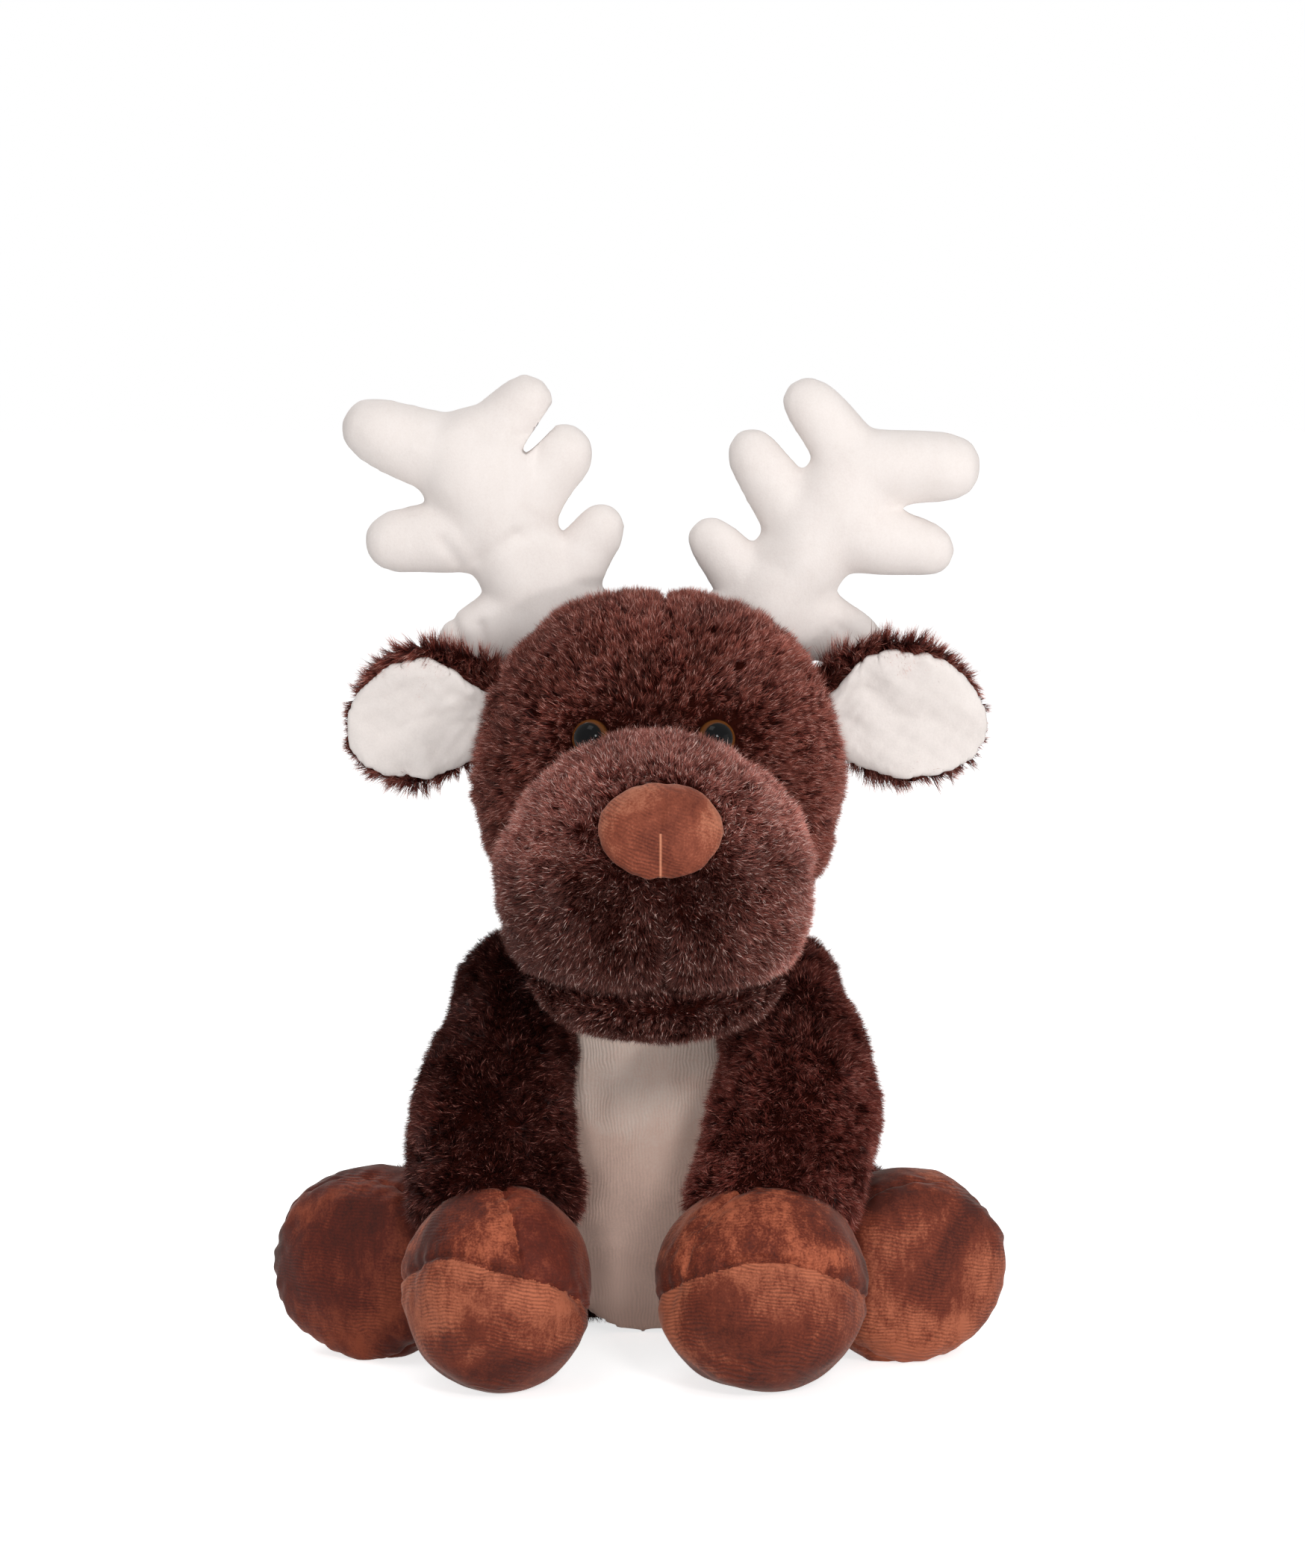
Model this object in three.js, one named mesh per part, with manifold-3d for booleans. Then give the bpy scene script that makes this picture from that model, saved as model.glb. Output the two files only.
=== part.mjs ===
import * as THREE from 'three';
import { mergeVertices } from 'three/addons/utils/BufferGeometryUtils.js';
import Module from 'manifold-3d';

const wasm = await Module();
wasm.setup();

// Seated plush deer, made of stuffed forms that are sewn together. Millimetres, +Z up.
// It faces -Y, its own left side is at +X, and the origin is the middle of the torso's flat base.

// Fabric and seams
const COVER_WALL = 2.4;
const SEAM_GAP = 0.3;
const TURNING_GAP = 1.1;
const FILLING_GAP = 3;
const FLOOR_DIP = 0.5;
const CUT_OVERRUN = 200;

// Torso: a pear that leans forward to the neck
const TORSO_HEIGHT = 118;
const TORSO_HALF_WIDTH = 54;
const TORSO_HALF_DEPTH = 50;
const TORSO_LEAN = 9;
const torsoGirthShares = [
  { height: 0, girth: 0.68 },
  { height: 0.03, girth: 0.83 },
  { height: 0.1, girth: 0.94 },
  { height: 0.25, girth: 1 },
  { height: 0.42, girth: 0.98 },
  { height: 0.58, girth: 0.91 },
  { height: 0.73, girth: 0.82 },
  { height: 0.86, girth: 0.69 },
  { height: 0.95, girth: 0.52 },
  { height: 0.99, girth: 0.3 },
];

// Cream panel let into the front of the torso
const BELLY_WIDTH = 72;
const BELLY_BOTTOM = 3;
const BELLY_TOP = 111;

// Neck ball of the head, which turns in the torso's neck opening
const NECK = new THREE.Vector3(2, -12, 126);
const NECK_RADIUS = 22;
const NECK_OPENING_RADIUS = 13;

// Head and muzzle
const HEAD = new THREE.Vector3(5.3, -18, 176);
const HEAD_HALF = new THREE.Vector3(56, 51, 55);
const HEAD_POWER = 2.2;
const MUZZLE = new THREE.Vector3(4.2, -78, 150);
const MUZZLE_HALF = new THREE.Vector3(47.5, 40, 44);
const MUZZLE_POWER = 2.25;
const CHIN = new THREE.Vector3(4.2, -80, 113.5);
const CHIN_HALF = new THREE.Vector3(33.5, 31, 11.5);
const NOSE_WIDTH = 38;
const NOSE_HEIGHT = 29;
const NOSE_DEPTH = 17;
const NOSE_RISE = 20;
const NOSE_SHIFT = 1.2;

// Safety eyes: a dome and a stem, held behind the fabric by a lock washer
const EYE_DIAMETER = 12;
const EYE_DOME = 5;
const EYE_SPACING = 38.5;
const EYE_RISE = 16;
const EYE_SHIFT = -2;
const EYE_STEM_DIAMETER = 4;
const EYE_STEM_LENGTH = 12;
const WASHER_DIAMETER = 14;
const WASHER_THICKNESS = 1.5;
const WASHER_STANDOFF = 2;

// Ears: a furred back and a cream lining on a rolled root
const EAR_LENGTH = { left: 51, right: 47 };
const EAR_HALF_HEIGHT = 22;
const EAR_ROOT_RADIUS = 5;
const EAR_ROOT_LENGTH = 20;
const EAR_BACK_THICKNESS = 8;
const EAR_LINING_THICKNESS = 3;
const EAR_LINING_PAD = 9;
const EAR_LINING_INSET = 3.5;
const EAR_CUP = 7;
const EAR_DROP = 20;
const earLayerShares = [0.45, 0.8, 0.95, 1];
const earMiddleShare = 0.45;
const earDropShare = 0.67;
const earRootShare = 0.33;
const earRimShares = {
  lower: [{ along: -0.05, middle: 0.2, across: -1.55 }, { along: 0.98, middle: 1, across: -1.25 }],
  upper: [{ along: 0.98, middle: 0.55, across: 1.2 }, { along: 0.3, middle: 0.12, across: 1 }],
};
const EAR_HINGE_OUT = 49.5;
const EAR_HINGE_RISE = 23;
const EAR_HINGE_BACK = 2;
const earHingeRadians = 0.34;

// Antlers: flat stuffed branches on a rolled base
const ANTLER_HEIGHT = 82;
const antlerFlatnessShare = 0.74;
const ANTLER_ROOT_RADIUS = 8;
const ANTLER_ROOT_LENGTH = 22;
const ANTLER_HINGE_OUT = 31;
const ANTLER_HINGE_RISE = 43.5;
const ANTLER_HINGE_BACK = 18;
const antlerHingeRadians = 0.59;

// Front legs, from the shoulder ball to the hoof
const SHOULDER_OUT = 42;
const SHOULDER_FRONT = 18;
const SHOULDER_UP = 107;
const SHOULDER_RADIUS = 19;
const FRONT_LEG_RADIUS = 23;
const FRONT_HOOF_RADIUS = 30;
const FRONT_HOOF_FRONT = 115;
const FRONT_HOOF_OUT = { left: 37.5, right: 44 };
const frontSeamDegrees = { left: 50, right: 18 };
const frontSoleDegrees = 26;
const FRONT_SOLE_RISE = 1;
const frontLegShares = {
  left: {
    elbow: { along: 0.42, outward: 0.3, girth: 0.94 },
    wrist: { along: 0.75, outward: 0.3, girth: 1.06 },
    ankle: { back: 0.5, rise: 0.85, girth: 0.98 },
  },
  right: {
    elbow: { along: 0.4, outward: 0.06, girth: 0.94 },
    wrist: { along: 0.75, outward: 0.1, girth: 1.03 },
    ankle: { back: 0.5, rise: 0.85, girth: 0.96 },
  },
};

// Hind legs, from the hip ball to the hoof
const HIP_OUT = 43;
const HIP_FRONT = 1;
const HIP_UP = 31;
const HIP_RADIUS = 20;
const HIND_LEG_RADIUS = 22;
const HIND_HOOF_RADIUS = 30.2;
const HIND_HOOF_LENGTH = 26;
const hindHoofDegrees = 22;
const HIND_HOOF_OUT = { left: 76, right: 78 };
const HIND_HOOF_FRONT = 55;
const HIND_SOLE_BULGE = 9;
const hindHoofShares = [
  { along: 0, girth: 0.9 },
  { along: 0.5, girth: 1 },
  { along: 0.85, girth: 0.985 },
  { along: 1, girth: 0.92 },
];
const hindRimShare = 0.85;
const hindBackShare = 0.4;

// Tail
const TAIL_UP = 30;
const TAIL_RADIUS = 8.5;
const TAIL_LENGTH = 24;
const tailDegrees = 38;
const tailShares = [
  { along: 0, girth: 1 },
  { along: 0.5, girth: 1.15 },
  { along: 1, girth: 0.6 },
];

// Turns of the seams from rest, in degrees. What they sweep is kept clear.
const HEAD_TURNS = [-2, 5, 12];
const HIP_TURNS = [0, 9, 18];
const EAR_TURNS = [0, 13, 26];
const ANTLER_TURNS = [0, 8, 16];
const TAIL_TURNS = [-14, -6, 3];

// Facets: sides round a form and rings along it
const TORSO_SIDES = 18;
const SKULL_FACETS = [20, 11];
const MUZZLE_FACETS = [18, 11];
const CHIN_FACETS = [16, 8];
const NECK_FACETS = [14, 8];
const HOOF_FACETS = [18, 10];
const HIND_HOOF_SIDES = 16;
const FILLING_FACETS = { sides: 10, steps: 3, capSteps: 2 };
const NOSE_FACETS = [18, 8];
const EYE_FACETS = [14, 8];
const EAR_OUTLINE_STEPS = 7;

const SIDES = { left: 1, right: -1 };

const fur = () => cloth(0x3c211d);
const velboa = () => cloth(0x7c4230);
const cream = () => cloth(0xf1e9e2);
const filling = () => cloth(0xf7f7f4);
const glossy = (color) => new THREE.MeshStandardMaterial({ color, roughness: 0.12, metalness: 0 });

function cloth(color) {
  return new THREE.MeshStandardMaterial({ color, roughness: 0.95, metalness: 0 });
}

// A closed geometry as a solid, with its shared corners merged
function solid(geometry) {
  const bare = geometry.clone();
  for (const name of Object.keys(bare.attributes)) {
    if (name !== 'position') bare.deleteAttribute(name);
  }
  const merged = mergeVertices(bare);
  return new wasm.Manifold(new wasm.Mesh({
    numProp: 3,
    vertProperties: new Float32Array(merged.attributes.position.array),
    triVerts: new Uint32Array(merged.index.array),
  }));
}

function mesh(name, body, material) {
  const { vertProperties, triVerts, numProp } = body.getMesh();
  const count = vertProperties.length / numProp;
  const positions = new Float32Array(3 * count);
  for (let i = 0; i < count; i += 1) {
    for (let k = 0; k < 3; k += 1) positions[3 * i + k] = vertProperties[numProp * i + k];
  }
  const geometry = new THREE.BufferGeometry();
  geometry.setAttribute('position', new THREE.BufferAttribute(positions, 3));
  geometry.setIndex(new THREE.BufferAttribute(new Uint32Array(triVerts), 1));
  geometry.computeVertexNormals();
  const made = new THREE.Mesh(geometry, material);
  made.name = name;
  return made;
}

const cut = (body, ...tools) => tools.reduce((rest, tool) => rest.subtract(tool), body);
const join = (...bodies) => bodies.reduce((sum, body) => sum.add(body));

// A body turned about a line through a point, and all that it fills at several turns
function turned(body, { point, axis }, degrees) {
  const turn = new THREE.Matrix4().makeRotationAxis(axis, THREE.MathUtils.degToRad(degrees));
  const away = new THREE.Matrix4().makeTranslation(-point.x, -point.y, -point.z);
  return body.transform(turn.premultiply(away.clone().invert()).multiply(away).toArray());
}

const swept = (body, hinge, turns) => join(...turns.map((degrees) => turned(body, hinge, degrees)));
const sweptBack = (body, hinge, turns) => swept(body, hinge, turns.map((degrees) => -degrees));

// A ball or a cushion-like ball: a higher power makes it fuller at its corners
function ball(centre, half, power, [sides, rings]) {
  const geometry = new THREE.SphereGeometry(1, sides, rings).rotateX(Math.PI / 2);
  const position = geometry.attributes.position;
  const point = new THREE.Vector3();
  for (let i = 0; i < position.count; i += 1) {
    point.fromBufferAttribute(position, i);
    const reach = [point.x, point.y, point.z].reduce((sum, v) => sum + Math.abs(v) ** power, 0);
    point.multiplyScalar(reach ** (-1 / power)).multiply(half).add(centre);
    position.setXYZ(i, point.x, point.y, point.z);
  }
  return solid(geometry);
}

const evenBall = (centre, radius, facets) =>
  ball(centre, new THREE.Vector3(radius, radius, radius), 2, facets);

// Where a cushion-like ball's surface is in front of a point of its middle plane, and its direction there
function frontOf(centre, half, power, right, up) {
  const used = Math.abs(right / half.x) ** power + Math.abs(up / half.z) ** power;
  const forward = half.y * (1 - used) ** (1 / power);
  const slope = (v, size) => (Math.sign(v) * Math.abs(v / size) ** (power - 1)) / size;
  return {
    place: new THREE.Vector3(centre.x + right, centre.y - forward, centre.z + up),
    normal: new THREE.Vector3(slope(right, half.x), slope(-forward, half.y), slope(up, half.z)).normalize(),
  };
}

// A closed skin over rings of equally many points, with a pole at each end
function skin(rings, start, end) {
  const sides = rings[0].length;
  const points = [...rings.flat(), start, end];
  const first = points.length - 2;
  const last = points.length - 1;
  const at = (ring, side) => ring * sides + (side % sides);
  const index = [];
  for (let j = 0; j < sides; j += 1) {
    index.push(first, at(0, j + 1), at(0, j));
    index.push(last, at(rings.length - 1, j), at(rings.length - 1, j + 1));
    for (let i = 0; i + 1 < rings.length; i += 1) {
      index.push(at(i, j), at(i, j + 1), at(i + 1, j));
      index.push(at(i, j + 1), at(i + 1, j + 1), at(i + 1, j));
    }
  }
  const geometry = new THREE.BufferGeometry().setFromPoints(points);
  geometry.setIndex(index);
  return solid(geometry);
}

// A stuffed limb along a smooth path: it swells and tapers with the girths of its stations, and
// ends in domes. A dome of 1 is a half ball, and a lower one is flatter.
function stuffed(stations, { spare = 0, sides = 14, steps = 6, capSteps = 3, domes = [1, 1] } = {}) {
  const path = new THREE.CatmullRomCurve3(stations.map((s) => s.place), false, 'centripetal');
  const girths = new THREE.CatmullRomCurve3(stations.map((s) => new THREE.Vector3(s.girth, 0, 0)));
  const ringAt = (centre, along, radius) => {
    const across = new THREE.Vector3(1, 0, 0).addScaledVector(along, -along.x).normalize();
    const over = new THREE.Vector3().crossVectors(along, across);
    return Array.from({ length: sides }, (_, j) => {
      const angle = (2 * Math.PI * j) / sides;
      return centre.clone()
        .addScaledVector(across, radius * Math.cos(angle))
        .addScaledVector(over, radius * Math.sin(angle));
    });
  };
  const rings = [];
  const dome = (share, sign, flatness, order) => {
    const centre = path.getPoint(share);
    const along = path.getTangent(share);
    const radius = girths.getPoint(share).x + spare;
    for (const k of order) {
      const angle = (k / capSteps) * (Math.PI / 2);
      const out = centre.clone().addScaledVector(along, sign * flatness * radius * Math.sin(angle));
      rings.push(ringAt(out, along, radius * Math.cos(angle)));
    }
    return centre.clone().addScaledVector(along, sign * flatness * radius);
  };
  const outward = Array.from({ length: capSteps }, (_, k) => k);
  const start = dome(0, -1, domes[0], outward.toReversed());
  for (let i = 1; i < steps; i += 1) {
    const share = i / steps;
    rings.push(ringAt(path.getPoint(share), path.getTangent(share), girths.getPoint(share).x + spare));
  }
  const end = dome(1, 1, domes[1], outward);
  return skin(rings, start, end);
}

// A stick with a rounded end of its own radius at each end, flattened front to back
function branch(from, to, fromRadius, toRadius, flatness = 1, sides = 10, capSteps = 2) {
  const along = new THREE.Vector3().subVectors(to, from);
  const lean = Math.asin((fromRadius - toRadius) / along.length());
  const profile = [];
  for (let k = 0; k <= capSteps; k += 1) {
    const angle = -Math.PI / 2 + (k / capSteps) * (Math.PI / 2 + lean);
    profile.push(new THREE.Vector2(fromRadius * Math.cos(angle), fromRadius * Math.sin(angle)));
  }
  for (let k = 0; k <= capSteps; k += 1) {
    const angle = lean + (k / capSteps) * (Math.PI / 2 - lean);
    profile.push(new THREE.Vector2(
      toRadius * Math.cos(angle),
      along.length() + toRadius * Math.sin(angle),
    ));
  }
  profile[0].x = 0;
  profile[profile.length - 1].x = 0;
  const turned = new THREE.LatheGeometry(profile, sides);
  const up = new THREE.Vector3(0, 1, 0);
  turned.applyQuaternion(new THREE.Quaternion().setFromUnitVectors(up, along.clone().normalize()));
  turned.scale(1, flatness, 1);
  turned.translate(from.x, from.y, from.z);
  return solid(turned);
}

// A cylinder between two points
function rod(from, to, radius, sides = 12) {
  const along = new THREE.Vector3().subVectors(to, from);
  const geometry = new THREE.CylinderGeometry(radius, radius, along.length(), sides);
  const up = new THREE.Vector3(0, 1, 0);
  geometry.applyQuaternion(new THREE.Quaternion().setFromUnitVectors(up, along.clone().normalize()));
  const middle = from.clone().add(to).multiplyScalar(1 / 2);
  return solid(geometry.translate(middle.x, middle.y, middle.z));
}

// Everything on the side of a plane that its normal points to
function halfSpace(point, normal) {
  const geometry = new THREE.BoxGeometry(2 * CUT_OVERRUN, 2 * CUT_OVERRUN, CUT_OVERRUN);
  geometry.translate(0, 0, CUT_OVERRUN / 2);
  const up = new THREE.Vector3(0, 0, 1);
  geometry.applyQuaternion(new THREE.Quaternion().setFromUnitVectors(up, normal.clone().normalize()));
  return solid(geometry.translate(point.x, point.y, point.z));
}

const UP = new THREE.Vector3(0, 0, 1);
const ORIGIN = new THREE.Vector3();
const belowFloor = halfSpace(ORIGIN, UP.clone().negate());

// Torso, smaller all round by an inset
function torsoForm(inset, sides = TORSO_SIDES) {
  const sections = torsoGirthShares.map(({ height, girth }) => {
    const foot = height * TORSO_HEIGHT - FLOOR_DIP;
    const z = THREE.MathUtils.clamp(foot, inset - FLOOR_DIP, TORSO_HEIGHT - FLOOR_DIP - inset);
    const lean = -TORSO_LEAN * height ** 2;
    return Array.from({ length: sides }, (_, j) => {
      const angle = (2 * Math.PI * j) / sides;
      return new THREE.Vector3(
        Math.max(girth * TORSO_HALF_WIDTH - inset, inset) * Math.cos(angle),
        lean + Math.max(girth * TORSO_HALF_DEPTH - inset, inset) * Math.sin(angle),
        z,
      );
    });
  });
  const start = new THREE.Vector3(0, 0, inset - FLOOR_DIP);
  const end = new THREE.Vector3(0, -TORSO_LEAN, TORSO_HEIGHT - inset);
  return skin(sections.map((ring, i) => liftSame(ring, sections, i, inset)), start, end);
}

// Rings that an inset has brought to one height are set apart again by a hair
function liftSame(ring, rings, i, inset) {
  if (i === 0 || rings[i - 1][0].z < ring[0].z) return ring;
  return ring.map((p) => p.clone().setZ(p.z + (i * inset) / COVER_WALL / rings.length));
}

function bellyPrism(spare) {
  const half = BELLY_WIDTH / 2 + spare;
  const bottom = BELLY_BOTTOM - spare;
  const top = BELLY_TOP + spare;
  const middle = (bottom + top) / 2;
  const rise = (top - bottom) / 2;
  const outline = new THREE.Shape();
  outline.absellipse(0, middle, half, rise, 0, 2 * Math.PI);
  const prism = new THREE.ExtrudeGeometry(outline, {
    depth: CUT_OVERRUN,
    bevelEnabled: false,
    curveSegments: 12,
  });
  prism.rotateX(Math.PI / 2);
  return solid(prism);
}

// Head: the skull, larger all round by a spare, and its neck ball
function skullForm(spare) {
  return ball(HEAD, HEAD_HALF.clone().addScalar(spare), HEAD_POWER, SKULL_FACETS);
}

function headForm(spare) {
  return join(skullForm(spare), evenBall(NECK, NECK_RADIUS + spare, NECK_FACETS));
}

const mirrored = (side, out, y, z) => new THREE.Vector3(side * out, y, z);

// Front leg from the shoulder ball to behind the hoof
function frontLegStations(name) {
  const side = SIDES[name];
  const { elbow, wrist, ankle } = frontLegShares[name];
  const shoulder = mirrored(side, SHOULDER_OUT, -SHOULDER_FRONT, SHOULDER_UP);
  const end = frontHoofCentre(name);
  end.add(new THREE.Vector3(0, ankle.back, ankle.rise).multiplyScalar(FRONT_HOOF_RADIUS));
  const bend = ({ along, outward, girth }) => {
    const swell = FRONT_LEG_RADIUS * outward;
    const place = shoulder.clone().lerp(end, along).add(mirrored(side, swell, 0, swell));
    return { place, girth: FRONT_LEG_RADIUS * girth };
  };
  return [
    { place: shoulder, girth: SHOULDER_RADIUS },
    bend(elbow),
    bend(wrist),
    { place: end, girth: FRONT_LEG_RADIUS * ankle.girth },
  ];
}

function frontHoofCentre(name) {
  const lift = FRONT_HOOF_RADIUS - FLOOR_DIP;
  return mirrored(SIDES[name], FRONT_HOOF_OUT[name], -FRONT_HOOF_FRONT, lift);
}

function frontLeg(name) {
  const side = SIDES[name];
  const centre = frontHoofCentre(name);
  const form = (spare) => evenBall(centre, FRONT_HOOF_RADIUS + spare, HOOF_FACETS);
  const hoof = cut(form(0), belowFloor);
  const tilt = THREE.MathUtils.degToRad(frontSoleDegrees);
  const soleUp = new THREE.Vector3(0, Math.sin(tilt), Math.cos(tilt));
  const seam = centre.clone().addScaledVector(UP, -FRONT_SOLE_RISE);
  const gap = soleUp.clone().multiplyScalar(SEAM_GAP);
  const sole = cut(hoof, halfSpace(seam, soleUp));
  const upper = cut(hoof, halfSpace(seam.clone().add(gap), soleUp.clone().negate()));
  const turn = THREE.MathUtils.degToRad(frontSeamDegrees[name]);
  const outward = new THREE.Vector3(side * Math.cos(turn), -Math.sin(turn), 0);
  const half = outward.clone().multiplyScalar(SEAM_GAP / 2);
  const outer = cut(upper, halfSpace(centre.clone().add(half), outward.clone().negate()));
  const inner = cut(upper, halfSpace(centre.clone().sub(half), outward));
  const leg = cut(stuffed(frontLegStations(name)), form(SEAM_GAP), belowFloor);
  return [
    mesh(`front_leg_${name}`, leg, fur()),
    mesh(`front_hoof_outer_${name}`, outer, velboa()),
    mesh(`front_hoof_inner_${name}`, inner, velboa()),
    mesh(`front_sole_${name}`, sole, velboa()),
  ];
}

// Hind leg from the hip ball to the hoof, which points forward and a little outward
function hindAim(name) {
  const turn = THREE.MathUtils.degToRad(hindHoofDegrees);
  return new THREE.Vector3(SIDES[name] * Math.sin(turn), -Math.cos(turn), 0);
}

function hindLegStations(name) {
  const side = SIDES[name];
  const hip = mirrored(side, HIP_OUT, -HIP_FRONT, HIP_UP);
  const ankle = hindAnkle(name);
  const knee = hip.clone().lerp(ankle, 1 / 2).add(mirrored(side, HIND_LEG_RADIUS / 8, 0, 0));
  return [
    { place: hip, girth: HIP_RADIUS },
    { place: knee, girth: HIND_LEG_RADIUS },
    { place: ankle, girth: HIND_LEG_RADIUS },
  ];
}

// The upright line that a hind leg splays about
const hipHinge = (name) => ({
  point: mirrored(SIDES[name], HIP_OUT, -HIP_FRONT, HIP_UP),
  axis: new THREE.Vector3(0, 0, SIDES[name]),
});

function hindAnkle(name) {
  const lift = HIND_HOOF_RADIUS - FLOOR_DIP;
  return mirrored(SIDES[name], HIND_HOOF_OUT[name], -HIND_HOOF_FRONT, lift);
}

// A hind leg lies flat against the front hoof and the front leg, where it would reach into them
function besideFrontLeg(name) {
  const hoof = hindAnkle(name).addScaledVector(hindAim(name), HIND_HOOF_LENGTH / 2);
  const [, , wrist, ankle] = frontLegStations(name);
  const along = ankle.place.clone().sub(wrist.place).normalize();
  const towardsLeg = ankle.place.clone().sub(hoof).projectOnPlane(along);
  const centre = frontHoofCentre(name);
  const press = (place, inward, radius) => {
    inward.normalize();
    return halfSpace(place.clone().addScaledVector(inward, -radius - SEAM_GAP), inward);
  };
  return join(
    press(centre, centre.clone().sub(hoof), FRONT_HOOF_RADIUS),
    press(ankle.place, towardsLeg, wrist.girth),
  );
}

function hindLeg(name) {
  const keepClear = besideFrontLeg(name);
  const aim = hindAim(name);
  const ankle = hindAnkle(name);
  const along = (share) => ankle.clone().addScaledVector(aim, share * HIND_HOOF_LENGTH);
  const stations = hindHoofShares.map((share) => (
    { place: along(share.along), girth: HIND_HOOF_RADIUS * share.girth }
  ));
  const domes = [hindBackShare, HIND_SOLE_BULGE / HIND_HOOF_RADIUS];
  const form = (spare) => stuffed(stations, { spare, sides: HIND_HOOF_SIDES, steps: 4, domes });
  const whole = cut(form(0), belowFloor, keepClear);
  const rim = along(hindRimShare);
  const gap = aim.clone().multiplyScalar(SEAM_GAP);
  const hoof = cut(whole, halfSpace(rim, aim));
  const sole = cut(whole, halfSpace(rim.clone().add(gap), aim.clone().negate()));
  const leg = cut(stuffed(hindLegStations(name)), form(SEAM_GAP), keepClear);
  return [
    mesh(`hind_leg_${name}`, leg, fur()),
    mesh(`hind_hoof_${name}`, hoof, velboa()),
    mesh(`hind_sole_${name}`, sole, velboa()),
  ];
}

// Places given from the head's middle: outward to one side, forward and up
const onHead = (name, out, front, up) =>
  HEAD.clone().add(new THREE.Vector3(SIDES[name] * out, -front, up));

// Height of the ear's middle line at a share of its length: it falls from the root
const earMiddle = (share) => -EAR_DROP * Math.min(1, share / earDropShare);

// Ear outline, outward and up from the middle of its root. It hangs below the root.
function earOutline(name, inset) {
  const length = EAR_LENGTH[name] - inset;
  const half = EAR_HALF_HEIGHT - inset;
  const root = EAR_ROOT_LENGTH / 2 - inset;
  const handle = ({ along, middle, across }) => [length * along, earMiddle(middle) + half * across];
  const outline = new THREE.Shape();
  outline.moveTo(0, -root);
  outline.bezierCurveTo(...earRimShares.lower.flatMap(handle), length, earMiddle(1));
  outline.bezierCurveTo(...earRimShares.upper.flatMap(handle), 0, root);
  outline.closePath();
  return outline;
}

// A soft pad of an ear's outline, thickest in the middle and dished forward towards its rim. Its
// middle layer lies at a depth in front of the hinge.
function earPad(name, inset, depth, thickness) {
  const outline = earOutline(name, inset).getPoints(EAR_OUTLINE_STEPS).slice(0, -1);
  const middle = new THREE.Vector2(EAR_LENGTH[name] / 2, earMiddle(earMiddleShare));
  const place = earPlace(name);
  const at = (flat, front) => {
    const along = flat.x / EAR_LENGTH[name];
    const across = (flat.y - earMiddle(along)) / EAR_HALF_HEIGHT;
    const free = Math.min(1, along / earRootShare) ** 2;
    const dish = EAR_CUP * (across ** 2 + (along - 1 / 2) ** 2) * free;
    return new THREE.Vector3(flat.x, flat.y, depth + front + dish).applyMatrix4(place);
  };
  const layer = (share, side) => {
    const front = side * (thickness / 2) * Math.sqrt(1 - share ** 4);
    const ring = outline.map((p) => at(middle.clone().lerp(p, share), front));
    return SIDES[name] > 0 ? ring : ring.toReversed();
  };
  const back = earLayerShares.map((share) => layer(share, -1));
  const front = earLayerShares.slice(0, -1).toReversed().map((share) => layer(share, 1));
  return skin([...back, ...front], at(middle, -thickness / 2), at(middle, thickness / 2));
}

function earPlace(name) {
  const side = SIDES[name];
  const up = new THREE.Vector3(-side * Math.sin(earHingeRadians), 0, Math.cos(earHingeRadians));
  const out = new THREE.Vector3(side * Math.cos(earHingeRadians), 0, Math.sin(earHingeRadians));
  const front = new THREE.Vector3(0, -1, 0);
  const hinge = onHead(name, EAR_HINGE_OUT, -EAR_HINGE_BACK, EAR_HINGE_RISE);
  return new THREE.Matrix4().makeBasis(out, up, front).setPosition(hinge);
}

// The line that an ear or an antler folds about, tilted from the upright towards the head's middle
function headHinge(name, out, back, rise, tilt) {
  const side = SIDES[name];
  return {
    point: onHead(name, out, -back, rise),
    axis: new THREE.Vector3(Math.sin(tilt), 0, -side * Math.cos(tilt)),
  };
}

const earHinge = (name) =>
  headHinge(name, EAR_HINGE_OUT, EAR_HINGE_BACK, EAR_HINGE_RISE, earHingeRadians);

// A roll with round ends along a hinge
function roll({ point, axis }, length, radius) {
  const [from, to] = [-1, 1].map((end) => point.clone().addScaledVector(axis, (end * length) / 2));
  return branch(from, to, radius, radius);
}

const earRoot = (name, spare) =>
  roll(earHinge(name), EAR_ROOT_LENGTH - 2 * EAR_ROOT_RADIUS, EAR_ROOT_RADIUS + spare);

function ear(name) {
  const skull = sweptBack(skullForm(SEAM_GAP), earHinge(name), EAR_TURNS);
  const backPad = (spare) => earPad(name, -spare, 0, EAR_BACK_THICKNESS + 2 * spare);
  const rise = EAR_BACK_THICKNESS / 2 - EAR_LINING_THICKNESS / 2;
  const liningPad = earPad(name, EAR_LINING_INSET, rise, EAR_LINING_PAD);
  const lining = cut(liningPad, backPad(SEAM_GAP), earRoot(name, SEAM_GAP), skull);
  return [
    mesh(`ear_back_${name}`, join(cut(backPad(0), skull), earRoot(name, 0)), fur()),
    mesh(`ear_lining_${name}`, lining, cream()),
  ];
}

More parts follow.
